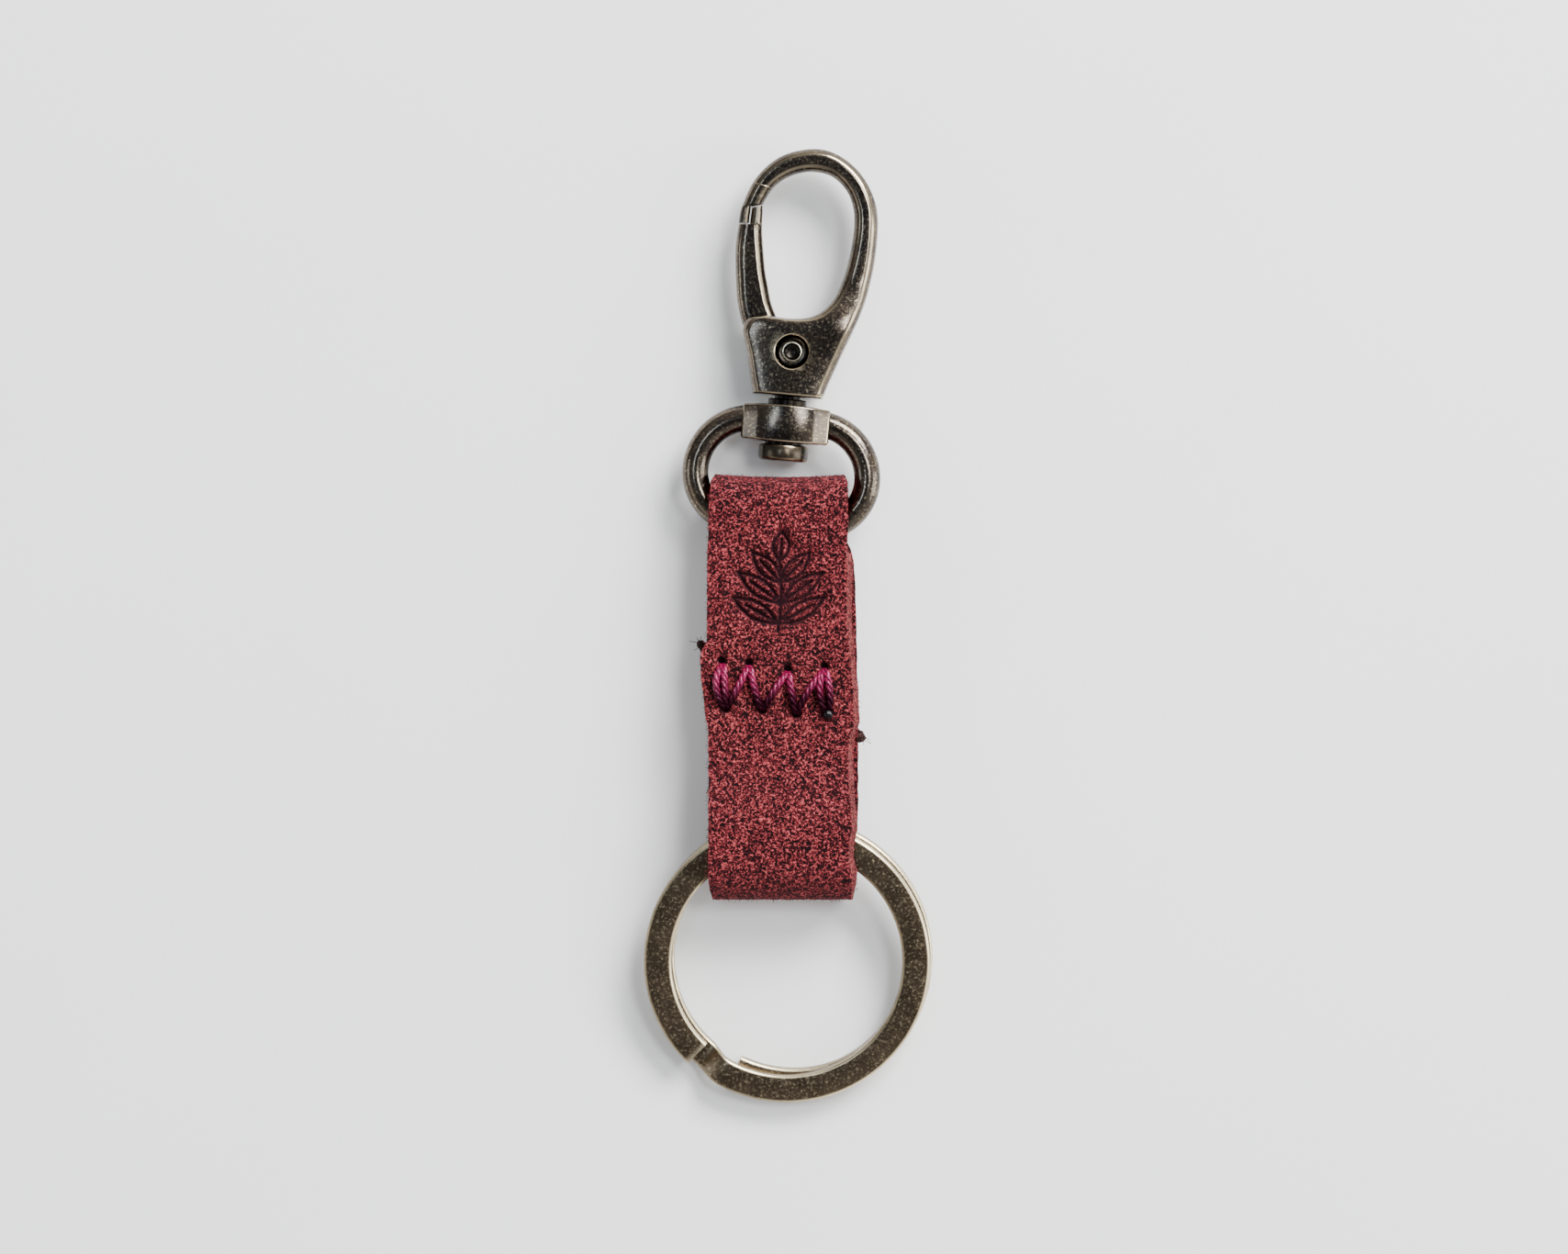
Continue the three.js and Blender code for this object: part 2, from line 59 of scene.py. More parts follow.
import bmesh
import bpy
from mathutils import Matrix, Vector, noise

MM = 0.001
joints = {joint["name"]: joint for joint in frame["record"]["behaviour"]["joints"]}

swivel_axis = Vector(joints["swivel_spin"]["axis"]).normalized()
swivel_place = (
    Matrix.Translation(joints["swivel_spin"]["pos_m"])
    @ Matrix.Rotation(-math.atan2(swivel_axis.x, swivel_axis.y), 4, "Z")
    @ Matrix.Scale(MM, 4)
)
ring_axis_place = Matrix.Translation(joints["ring_swing"]["pos_m"]) @ Matrix.Scale(MM, 4)
strap_place = Matrix.Scale(MM, 4)
LAID_ALONG_Y = Matrix.Rotation(-math.pi / 2, 4, "X") # for parts that are turned up along Z
print("swivel leans", round(math.degrees(math.atan2(swivel_axis.x, swivel_axis.y)), 1), "degrees")

# %% [markdown]
# ## A few tools
# These are the moves that come back for every piece: add a primitive on its own, work on it in edit
# mode, apply a modifier, cut one shape out of another, and set the finished shape in its place.

# %% Tools
def add(name, primitive, **size):
    """One primitive, with nothing else selected."""
    bpy.ops.object.select_all(action="DESELECT")
    primitive(**size)
    piece = bpy.context.object
    piece.name = piece.data.name = name
    return piece


def pick(piece):
    bpy.ops.object.select_all(action="DESELECT")
    piece.select_set(True)
    bpy.context.view_layer.objects.active = piece


def edit_all():
    """Into edit mode, with everything selected."""
    bpy.ops.object.mode_set(mode="EDIT")
    bpy.ops.mesh.select_all(action="SELECT")


def leave_edit():
    bpy.ops.object.mode_set(mode="OBJECT")


def hold_place(piece, place=None):
    """Puts a piece's own place into its mesh."""
    pick(piece)
    if place is not None:
        piece.matrix_world = place
    bpy.ops.object.transform_apply(location=True, rotation=True, scale=True)
    return piece


def tidy_mesh(piece, merge=1e-4, caps=False):
    """Merges doubles, closes open ends if asked, and turns every face outwards."""
    pick(piece)
    edit_all()
    bpy.ops.mesh.remove_doubles(threshold=merge)
    if caps:
        bpy.ops.mesh.fill_holes(sides=0)
        bpy.ops.mesh.select_all(action="SELECT")
    bpy.ops.mesh.normals_make_consistent(inside=False)
    leave_edit()


def apply_modifier(piece, kind, **settings):
    modifier = piece.modifiers.new(kind.title(), kind)
    for key, value in settings.items():
        setattr(modifier, key, value)
    pick(piece)
    bpy.ops.object.modifier_apply(modifier=modifier.name)


def combine(piece, tool, operation):
    apply_modifier(piece, "BOOLEAN", operation=operation, object=tool, solver="EXACT")
    bpy.data.objects.remove(tool)


def settle(piece, place, smooth_deg=35):
    """Brings a piece from its own millimetres into the frame, with its place in its mesh."""
    hold_place(piece, place)
    bpy.ops.object.shade_smooth_by_angle(angle=math.radians(smooth_deg))
    lowest = min(v.co.z for v in piece.data.vertices) / MM
    print(piece.name, len(piece.data.polygons), "faces, lowest point at", round(lowest, 2), "mm")


def mark_points(piece, name, values):
    """Stores one number for each point of a piece, for its finish to read."""
    layer = piece.data.attributes.new(name, "FLOAT", "POINT")
    layer.data.foreach_set("value", values)


def blend_in(value, low, high):
    """0 below low, 1 above high, and a smooth rise between them."""
    t = min(max((value - low) / (high - low), 0.0), 1.0)
    return t * t * (3 - 2 * t)


def along(points, value):
    """Reads a list of (position, size) pairs at a position, in a straight line between them."""
    points = sorted(points)
    if value <= points[0][0]:
        return points[0][1]
    for (p0, s0), (p1, s1) in zip(points, points[1:]):
        if value <= p1:
            return s0 + (s1 - s0) * (value - p0) / (p1 - p0)
    return points[-1][1]


# %% [markdown]
# ## Two ways to make a solid
# Castings and folded leather are long shapes whose section changes on the way. A flat grid is rolled up
# for them: each row of the grid becomes one ring round the section, and the ends are then capped. Turned
# parts are drawn up from a disc instead, one extrude and one resize for each step of the profile.

# %% Rolled and turned shapes
def roll_sheet(name, rings, marks=None):
    """marks holds numbers to store on the surface: a name, and one value for each point of each ring."""
    rows, around = len(rings), len(rings[0])
    sheet = add(name, bpy.ops.mesh.primitive_grid_add, x_subdivisions=around, y_subdivisions=rows - 1)
    verts = sheet.data.vertices
    order = sorted(range(len(verts)), key=lambda i: (round(verts[i].co.y, 6), verts[i].co.x))
    layers = {key: sheet.data.attributes.new(key, "FLOAT", "POINT") for key in marks or {}}
    for spot, index in enumerate(order):
        row, column = divmod(spot, around + 1)
        verts[index].co = rings[row][column % around]
        for key, layer in layers.items():
            layer.data[index].value = marks[key][row][column % around]
    tidy_mesh(sheet, caps=True)
    return sheet


def turn_up(name, profile, sides=48):
    """profile is (radius, height) from the lowest face to the highest, along +Z."""
    radius, height = profile[0]
    piece = add(
        name,
        bpy.ops.mesh.primitive_circle_add,
        vertices=sides,
        radius=radius,
        fill_type="NGON",
        location=(0, 0, 0),
    )
    edit_all()
    bpy.ops.transform.translate(value=(0, 0, height))
    for next_radius, next_height in profile[1:]:
        bpy.ops.mesh.extrude_region_move(TRANSFORM_OT_translate={"value": (0, 0, next_height - height)})
        grow = next_radius / radius
        bpy.ops.transform.resize(value=(grow, grow, 1), center_override=(0, 0, next_height))
        radius, height = next_radius, next_height
    leave_edit()
    tidy_mesh(piece)
    return piece


def drill(piece, name, profile, place, sides=48):
    """Cuts a turned shape out of a piece."""
    combine(piece, hold_place(turn_up(name, profile, sides), place), "DIFFERENCE")


# %% [markdown]
# ## Where metal wears
# Antique plating is dark in the flats and rubbed back to pale gold on the edges. The wear follows the
# shape, so each metal piece carries a number at every point that says how sharply it bends outwards.
# On the edges that face the main light the pale brass is painted stronger, as a painted highlight, and on
# the edges that face away it is painted weaker, as painted shade. Hollows and parts tucked between others
# are painted dark, as painted shade.

# %% Worn edges, with painted highlight and painted shade
# the side the main light comes from, in plan: edges that face it get a painted highlight
LIT_SIDE = (0.93, 0.37)
FACE_SPREAD = (0.03, 0.6) # the bend at an edge is spread over the faces beside it, within these widths


def mark_wear_and_highlight(piece, flat=0.9, sharp=2.3, lit_side=LIT_SIDE):
    """Stores the edge mask, from 0 where the surface is flat to 1 on a sharp outside edge, measured in 1/mm.

    The edges that face the light's side keep their full value, as a painted highlight, and the ones that face
    away are painted down to a fifth of it, as painted shade.
    """
    lit_side = Vector((*lit_side, 0))
    mesh = bmesh.new()
    mesh.from_mesh(piece.data)
    wear_and_highlight = [0.0] * len(mesh.verts)
    for edge in mesh.edges:
        if len(edge.link_faces) != 2:
            continue
        one, other = (face.calc_center_median() for face in edge.link_faces)
        spread = min(max((one - other).length, FACE_SPREAD[0]), FACE_SPREAD[1])
        bend = edge.calc_face_angle_signed(0.0) / spread
        value = min(max((bend - flat) / (sharp - flat), 0.0), 1.0)
        for vert in edge.verts:
            wear_and_highlight[vert.index] = max(wear_and_highlight[vert.index], value)
    # painted highlight and shade: full value on edges that face the light, down to a fifth on the far side
    for vert in mesh.verts:
        wear_and_highlight[vert.index] *= 0.2 + 0.8 * blend_in(vert.normal.dot(lit_side), -0.45, 0.15)
    mesh.free()
    mark_points(piece, "wear_and_highlight", wear_and_highlight)


def ease_wear_and_highlight(piece, keep, where):
    """Keeps only part of the edge mask where a test holds: where nothing rubs, and where an edge is painted
    darker as shade. where is a test on a point.
    """
    layer = piece.data.attributes["wear_and_highlight"]
    for vert, mark in zip(piece.data.vertices, layer.data):
        if where(vert.co):
            mark.value *= keep


def add_painted_shade(piece, amount, where):
    """Paints points near-black, as painted shade in hollows and between parts."""
    layer = piece.data.attributes.get("painted_shade") or piece.data.attributes.new("painted_shade", "FLOAT", "POINT")
    for vert, mark in zip(piece.data.vertices, layer.data):
        if where(vert.co):
            mark.value = amount


# %% [markdown]
# ## Finishes
# Each finish is a small tree of nodes that reads Object coordinates, so the grain keeps its real size on
# every piece. Numbers that are the same all over sit on the shader itself.

# %% Material tools
def start_material(name):
    material = bpy.data.materials.new(name)
    material.use_nodes = True
    tree = material.node_tree
    shader = next(n for n in tree.nodes if n.type == "BSDF_PRINCIPLED")
    return material, tree, shader


def make_node(tree, kind, settings=None, **sockets):
    item = tree.nodes.new(kind)
    for key, value in (settings or {}).items():
        setattr(item, key, value)
    for key, value in sockets.items():
        item.inputs[key.replace("_", " ")].default_value = value
    return item


def grain(tree, scale, detail=3.0, roughness=0.5, distortion=0.0):
    """A noise in Object coordinates. scale is how many grains fit in a metre."""
    place = make_node(tree, "ShaderNodeTexCoord")
    texture = make_node(
        tree, "ShaderNodeTexNoise", Scale=scale, Detail=detail, Roughness=roughness, Distortion=distortion
    )
    tree.links.new(place.outputs["Object"], texture.inputs["Vector"])
    return texture.outputs["Fac"]


def ramp(tree, source, *stops):
    """Colours by position along a 0-to-1 value."""
    item = make_node(tree, "ShaderNodeValToRGB")
    elements = item.color_ramp.elements
    while len(elements) < len(stops):
        elements.new(0.5)
    for element, (position, color) in zip(elements, stops):
        element.position = position
        element.color = (*color, 1)
    tree.links.new(source, item.inputs["Fac"])
    return item.outputs["Color"]


def math_node(tree, operation, a, b, clamp=False):
    item = make_node(tree, "ShaderNodeMath", {"operation": operation, "use_clamp": clamp})
    for socket, value in zip(item.inputs, (a, b)):
        if isinstance(value, (int, float)):
            socket.default_value = value
        else:
            tree.links.new(value, socket)
    return item.outputs["Value"]


def mix_color(tree, factor, a, b, blend="MIX"):
    item = make_node(tree, "ShaderNodeMix", {"data_type": "RGBA", "blend_type": blend})
    sockets = [s for s in item.inputs if s.enabled]
    for socket, value in zip(sockets, (factor, a, b)):
        if isinstance(value, (int, float)):
            socket.default_value = value
        elif isinstance(value, tuple):
            socket.default_value = (*value, 1)
        else:
            tree.links.new(value, socket)
    return next(s for s in item.outputs if s.enabled)


def attribute(tree, name):
    return make_node(tree, "ShaderNodeAttribute", {"attribute_name": name}).outputs["Fac"]


def bump(tree, shader, height, distance, strength=1.0):
    item = make_node(tree, "ShaderNodeBump", Strength=strength, Distance=distance)
    tree.links.new(height, item.inputs["Height"])
    tree.links.new(item.outputs["Normal"], shader.inputs["Normal"])


# %% [markdown]
# ### Antique brass
# A clear way to paint this is two metals and a mask. The dark one is the plating, with a slow change
# of tone across the piece. The pale one is the brass under it, and the mask is the wear on the edges,
# painted stronger on the edges that face the light as a painted highlight, broken up by noise, with a
# few rubbed specks in the flats. Last, black painted shade goes over both where a piece asks for it.

# %% Antique brass
def antique_brass(name, plating, plating_warm, brass, wear=1.0, specks=0.3, rough=(0.2, 0.36)):
    material, tree, shader = start_material(name)
    shader.inputs["Metallic"].default_value = 1.0
    patches = grain(tree, 420, 3)
    fine = grain(tree, 3600, 4, 0.7)
    # edge wear, painted stronger as a highlight on the edges that face the light
    wear_and_highlight = math_node(tree, "MULTIPLY", attribute(tree, "wear_and_highlight"), wear)
    broken = math_node(tree, "MULTIPLY", math_node(tree, "SUBTRACT", patches, 0.5), 1.1)
    mask = math_node(tree, "MULTIPLY", wear_and_highlight, math_node(tree, "ADD", broken, 0.85), clamp=True)
    above = math_node(tree, "SUBTRACT", fine, 0.54, clamp=True)
    dots = math_node(tree, "MULTIPLY", above, specks * 4, clamp=True)
    mask = math_node(tree, "MAXIMUM", mask, dots)
    tone = ramp(tree, patches, (0.35, plating), (0.65, plating_warm))
    colour = mix_color(tree, mask, tone, brass)
    # painted shade: near-black over hollows and parts that sit between others
    colour = mix_color(tree, attribute(tree, "painted_shade"), colour, (0.006, 0.005, 0.005))
    tree.links.new(colour, shader.inputs["Base Color"])
    low, high = rough
    roughness = make_node(tree, "ShaderNodeMapRange", From_Min=0.3, From_Max=0.7, To_Min=low, To_Max=high)
    tree.links.new(fine, roughness.inputs["Value"])
    tree.links.new(roughness.outputs["Result"], shader.inputs["Roughness"])
    bump(tree, shader, fine, 0.00001, 0.5)
    return material


cast_brass = antique_brass(
    "cast_antique_brass", (0.058, 0.048, 0.042), (0.098, 0.077, 0.058), (0.70, 0.575, 0.385),
    specks=0.6, rough=(0.12, 0.24),
)
wire_brass = antique_brass(
    "ring_antique_brass", (0.090, 0.066, 0.042), (0.145, 0.108, 0.070), (0.78, 0.65, 0.42),
    specks=0.8, rough=(0.24, 0.4),
)
stud_brass = antique_brass(
    "stud_antique_brass", (0.030, 0.026, 0.022), (0.060, 0.046, 0.032), (0.66, 0.52, 0.32), specks=0.1
)

# %% [markdown]
# ### Suede, thread and spring wire
# Suede is a brushed nap: thousands of short tufts, some standing and catching light, some leaning away and
# dark. Two noises give them in colour and in height: one is folded about its middle value, which draws
# it out into little curls, and the other breaks the curls up. The cut edge shows the paler inside of the
# hide, and pressed lines are darker because the nap is crushed. The thread holes are painted dark too, as
# painted shade inside them, and the left cut edge is painted less pale than the right, as painted shade.

# %% Suede
def suede_finish():
    material, tree, shader = start_material("burgundy_suede")
    coarse = grain(tree, 2100, 1, 0.5, 0.9)
    fine = grain(tree, 4000, 3, 0.6, 0.6)
    drift = grain(tree, 170, 3, 0.6)
    off_middle = math_node(tree, "ABSOLUTE", math_node(tree, "SUBTRACT", coarse, 0.5), 0.0)
    curls = math_node(tree, "SUBTRACT", 1.0, math_node(tree, "MULTIPLY", off_middle, 5.0), clamp=True)
    drawn_out = math_node(tree, "MULTIPLY", curls, 0.2)
    broken_up = math_node(tree, "MULTIPLY", fine, 0.8)
    tufts = math_node(tree, "ADD", drawn_out, broken_up)
    nap = ramp(
        tree,
        tufts,
        (0.44, (0.003, 0.0003, 0.0009)),
        (0.50, (0.027, 0.0020, 0.0038)),
        (0.562, (0.125, 0.0105, 0.0145)),
        (0.64, (0.455, 0.0790, 0.0850)),
    )
    shade = ramp(tree, drift, (0.3, (0.78, 0.74, 0.76)), (0.7, (1.05, 1.02, 1.02)))
    colour = mix_color(tree, 1.0, nap, shade, "MULTIPLY")
    cut = ramp(tree, tufts, (0.44, (0.04, 0.006, 0.007)), (0.64, (0.28, 0.055, 0.050)))
    colour = mix_color(tree, attribute(tree, "cut"), colour, cut)
    # darker where the stamp crushed the nap, and painted shade in the thread holes
    colour = mix_color(tree, attribute(tree, "pressed_and_shaded"), colour, (0.010, 0.001, 0.003))
    tree.links.new(colour, shader.inputs["Base Color"])
    shader.inputs["Roughness"].default_value = 0.95
    shader.inputs["Specular IOR Level"].default_value = 0.12
    shader.inputs["Sheen Weight"].default_value = 0.08
    shader.inputs["Sheen Roughness"].default_value = 0.5
    shader.inputs["Sheen Tint"].default_value = (0.9, 0.3, 0.35, 1)
    bump(tree, shader, tufts, 0.0005)
    return material


def thread_finish(name, dark, light, roughness, shine, tint=(1.0, 1.0, 1.0)):
    material, tree, shader = start_material(name)
    fibres = grain(tree, 5200, 3, 0.6)
    strands = ramp(tree, fibres, (0.35, dark), (0.65, light))
    # painted shade: darker towards the lower bends, with the shine dimmed there as well
    colour = mix_color(tree, attribute(tree, "painted_shade"), strands, (0.007, 0.0008, 0.0025))
    tree.links.new(colour, shader.inputs["Base Color"])
    shader.inputs["Roughness"].default_value = roughness
    dulled = math_node(tree, "MULTIPLY", attribute(tree, "painted_shade"), -0.93 * shine)
    tree.links.new(math_node(tree, "ADD", dulled, shine), shader.inputs["Specular IOR Level"])
    shader.inputs["Specular Tint"].default_value = (*tint, 1)
    bump(tree, shader, fibres, 0.00004)
    return material


def wire_finish():
    material, tree, shader = start_material("spring_wire")
    drawn = ramp(tree, grain(tree, 2600, 2), (0.3, (0.40, 0.40, 0.41)), (0.7, (0.62, 0.62, 0.63)))
    tree.links.new(drawn, shader.inputs["Base Color"])
    shader.inputs["Metallic"].default_value = 1.0
    shader.inputs["Roughness"].default_value = 0.32
    return material


suede = suede_finish()
wine_thread = thread_finish(
    "wine_thread", (0.040, 0.0008, 0.009), (0.30, 0.007, 0.062), 0.2, 1.0, tint=(1.0, 0.38, 0.6)
)
tail_thread = thread_finish("tail_thread", (0.012, 0.004, 0.004), (0.045, 0.016, 0.014), 0.6, 0.15)
melted_thread = thread_finish("melted_thread", (0.002, 0.001, 0.0015), (0.005, 0.002, 0.003), 0.07, 0.2)
spring_wire = wire_finish()
print("finishes:", len([m for m in bpy.data.materials if m.use_nodes]))


def finish_piece(piece, body, slot, material, *nodes):
    """The material, the body it rides on, its slot in the record, which is not used, and the nodes it stands
    for.
    """
    piece.data.materials.clear()
    piece.data.materials.append(material)
    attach(piece, body)
    if nodes:
        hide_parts(*nodes)


# %% [markdown]
# ## The split ring
# A split ring is flat wire wound nearly twice, so the way to make it is the real one: draw the
# section of the wire once, round its corners, and spin it about the ring's centre. The spin lays both
# turns in one plane, so afterwards the first turn is lifted on to the second, with a short ramp between
# them that shows as the step beside the wire's cut end. The back turn has also sprung a little out of
# line, and its own end leans inwards.

# %% Split ring
RING_RADIUS = 15.0
WIRE_WIDTH = 2.9
WIRE_DEPTH = 1.25
WIRE_ROUNDING = 0.34
TURN_STEP = 1.35 # from one turn's middle to the next
RING_CENTRE_Y = -11.97 # from the axis the ring swings on
RING_START_DEG = 226
RING_TURN_DEG = 701.5
JOGGLE_DEG = (346.0, 357.5) # how far round the ramp starts and ends
BACK_TURN_OFF = (0.3, 0.24) # how far the back turn has sprung out of line, to the right and up
BACK_END_IN = 0.35
BACK_END_LEAN_DEG = 60 # how much of the last turn leans in
RING_STEPS = 260
FLOOR_GAP = 0.02


def make_split_ring():
    ring = add(
        "ring_wire", bpy.ops.mesh.primitive_plane_add, size=1, location=(RING_RADIUS - WIRE_WIDTH / 2, 0, 0),
        rotation=(math.pi / 2, 0, 0),
    )
    edit_all()
    bpy.ops.transform.resize(value=(WIRE_WIDTH, 1, WIRE_DEPTH))
    bpy.ops.mesh.bevel(offset=WIRE_ROUNDING, segments=4, affect="VERTICES", profile=0.5)
    leave_edit()
    hold_place(ring)
    section = len(ring.data.vertices)
    edit_all()
    bpy.ops.mesh.spin(
        steps=RING_STEPS, angle=math.radians(RING_TURN_DEG), center=(0, 0, 0), axis=(0, 0, 1), dupli=False
    )
    leave_edit()
    verts = ring.data.vertices
    sprung = Matrix.Rotation(math.radians(-RING_START_DEG), 3, "Z") @ Vector((*BACK_TURN_OFF, 0))
    for i, vert in enumerate(verts):
        angle = (-math.degrees(math.atan2(vert.co.y, vert.co.x))) % 360
        turn = round((i // section) * RING_TURN_DEG / RING_STEPS / 360 - angle / 360)
        travelled = angle + 360 * turn
        ramp_down = blend_in(travelled, *JOGGLE_DEG)
        lean = blend_in(travelled, RING_TURN_DEG - BACK_END_LEAN_DEG, RING_TURN_DEG)
        inwards = -Vector((vert.co.x, vert.co.y, 0)).normalized()
        vert.co += sprung * ramp_down + inwards * BACK_END_IN * lean
        vert.co.z += TURN_STEP * (0.5 - ramp_down)
    print("section points", section, "ring points", len(verts), "turns", round(travelled, 1))
    tidy_mesh(ring)
    return ring


split_ring = make_split_ring()
# the light's side, turned back by the ring's start angle so that it stays on the light's side once placed
turned_lit_side = Matrix.Rotation(math.radians(-RING_START_DEG), 2) @ Vector(LIT_SIDE)
mark_wear_and_highlight(split_ring, lit_side=turned_lit_side)
reach = RING_RADIUS - RING_CENTRE_Y
half_stack = (WIRE_DEPTH + TURN_STEP) / 2
axis_height = joints["ring_swing"]["pos_m"][2] / MM
droop = math.asin((axis_height - FLOOR_GAP) / math.hypot(reach, half_stack)) - math.atan2(half_stack, reach)
ring_place = (
    ring_axis_place
    @ Matrix.Rotation(droop, 4, "X")
    @ Matrix.Translation((0, RING_CENTRE_Y, 0))
    @ Matrix.Rotation(math.radians(RING_START_DEG), 4, "Z")
)
settle(split_ring, ring_place)
finish_piece(split_ring, "ring", "antique_brass", wire_brass, "split_ring")

# %% [markdown]
# ## The swivel loop
# The loop is a casting: a D of round bar that runs into a collar, and the collar is bored for the stud.
# Half of the D is made from one circle, extruded along the bar, spun through the heel and the
# shoulder, and run into the collar. A mirror makes the other half, so both sides are exactly alike.

# %% Loop wire
WIRE_RADIUS = 1.39
LOOP_HALF_WIDTH = 9.04
SHOULDER = 5.74
HEEL = 5.2
INTO_COLLAR = 0.6


def make_loop_wire():
    wire = add(
        "loop_wire", bpy.ops.mesh.primitive_circle_add, vertices=32, radius=WIRE_RADIUS,
        location=(0, -HEEL, 0), rotation=(0, math.pi / 2, 0),
    )
    hold_place(wire)
    edit_all()
    heel_x = LOOP_HALF_WIDTH - HEEL
    shoulder_x = LOOP_HALF_WIDTH - SHOULDER
    bpy.ops.mesh.extrude_region_move(TRANSFORM_OT_translate={"value": (heel_x, 0, 0)})
    quarter = math.pi / 2
    bpy.ops.mesh.spin(steps=16, angle=quarter, center=(heel_x, 0, 0), axis=(0, 0, -1), dupli=False)
    bpy.ops.mesh.spin(steps=16, angle=quarter, center=(shoulder_x, 0, 0), axis=(0, 0, -1), dupli=False)
    bpy.ops.mesh.extrude_region_move(TRANSFORM_OT_translate={"value": (-INTO_COLLAR, 0, 0)})
    leave_edit()
    apply_modifier(wire, "MIRROR", use_axis=(True, False, False), merge_threshold=0.001)
    tidy_mesh(wire, caps=True)
    return wire


loop_wire = make_loop_wire()

# %% [markdown]
# The collar starts as a block. Lines are cut across it where the facets and the curved front will be,
# each line is then pulled out to its own depth, and a bevel softens all the outside edges. Last, it is
# joined to the wire and bored through.

# %% Collar
COLLAR_HALF_WIDTH = 4.6
COLLAR_BOTTOM = 3.55
COLLAR_TOP = 7.15
STUD_BORE = 2.15
COLLAR_REACH = 4.2 # above this the loop is sheltered from wear
COLLAR_DEPTHS = [(0, 2.95), (1.1, 2.9), (2.2, 2.72), (3.05, 2.45), (3.3, 2.25), (4.35, 1.6), (4.6, 1.45)]


def make_collar():
    middle = (COLLAR_TOP + COLLAR_BOTTOM) / 2
    block = add("collar", bpy.ops.mesh.primitive_cube_add, size=2, location=(0, middle, 0))
    edit_all()
    bpy.ops.transform.resize(value=(COLLAR_HALF_WIDTH, (COLLAR_TOP - COLLAR_BOTTOM) / 2, 1))
    for across, _ in COLLAR_DEPTHS[:-1]:
        for side in {across, -across}:
            bpy.ops.mesh.select_all(action="SELECT")
            bpy.ops.mesh.bisect(plane_co=(side, 0, 0), plane_no=(1, 0, 0))
    leave_edit()
    hold_place(block)
    for vert in block.data.vertices:
        depth = along(COLLAR_DEPTHS, abs(vert.co.x))
        vert.co.z = math.copysign(depth, vert.co.z)
        crown = 1 - (vert.co.x / COLLAR_HALF_WIDTH) ** 2
        vert.co.y += 0.22 * crown if vert.co.y > middle else -0.12 * crown
    apply_modifier(block, "BEVEL", width=0.28, segments=4, limit_method="ANGLE", angle_limit=math.radians(50))
    return block


collar = make_collar()
combine(loop_wire, collar, "UNION")
drill(loop_wire, "bore", [(STUD_BORE, 0), (STUD_BORE, 12)], LAID_ALONG_Y)
loop_wire.name = loop_wire.data.name = "loop_and_collar"
tidy_mesh(loop_wire, merge=1e-3)
mark_wear_and_highlight(loop_wire, flat=1.1)
ease_wear_and_highlight(loop_wire, 0.25, lambda p: p.y > COLLAR_REACH)
settle(loop_wire, swivel_place)
finish_piece(loop_wire, "loop", "antique_brass", cast_brass, "swivel_loop")

# %% [markdown]
# ## The swivel stud
# A turned pin: a flat head that can't pull through the collar, and a shank that goes up into the hook.
# It is drawn up from its lowest disc, with two small steps at each corner where the tool broke the edge.

# %% Stud
stud = turn_up(
    "swivel_pin",
    [
        (2.2, 1.5), (2.42, 1.56), (2.55, 1.7), (2.6, 1.9), (2.6, 2.9), (2.52, 3.1), (2.36, 3.2), (2.05, 3.22),
        (2.05, 7.85), (1.95, 7.97), (1.8, 8.0), (1.4, 8.02), (1.4, 9.5), (1.3, 9.6),
    ],
    64,
)
mark_wear_and_highlight(stud)
ease_wear_and_highlight(stud, 0.55, lambda p: True)
# painted shade on the shank, which sits between the collar and the hook
add_painted_shade(stud, 0.9, lambda p: p.z > 3.15)
settle(stud, swivel_place @ LAID_ALONG_Y)
finish_piece(stud, "hook", "antique_brass", stud_brass, "swivel_stud")

# %% [markdown]
# ## The hook
# The hook is one casting, from the stepped nose over the top and down into the body. It is drawn as
# two edges, an outer one and an inner one, and the section between them has a drafted side wall, a soft
# bevel and a flat face. The bar is thin, the body is thick, and the depth grows smoothly between them.

# %% Hook casting
BAR_DEPTH = 1.75
BODY_DEPTH = 2.8

# How far in from an edge, and how far below the face, each point of the bevelled edge is.
EDGE_STEPS = [(0.0, None), (0.10, 0.62), (0.20, 0.46), (0.32, 0.30), (0.48, 0.14), (0.68, 0.03), (0.9, 0.0)]
FACE_STEPS = 8
NOSE_ROWS = 4 # the first rows of the hook and of the gate are the step where they meet
LIMB_SAG = 0.2
BODY_SAG = 0.24
BODY_TO_LIMB = (15.6, 21.5) # the depth comes down between these
LIMB_TO_TOP = (26.5, 31.0) # and the face turns flat between these
SEAM_Y = 30.2 # a fine casting seam crosses the bar here
SEAM_HEIGHT = 0.04
FOOT_Y = 8.6

FOOT_STEPS = [(0.08, 0.01), (0.16, 0.06), (0.22, 0.14), (0.27, 0.26), (0.3, 0.42)]

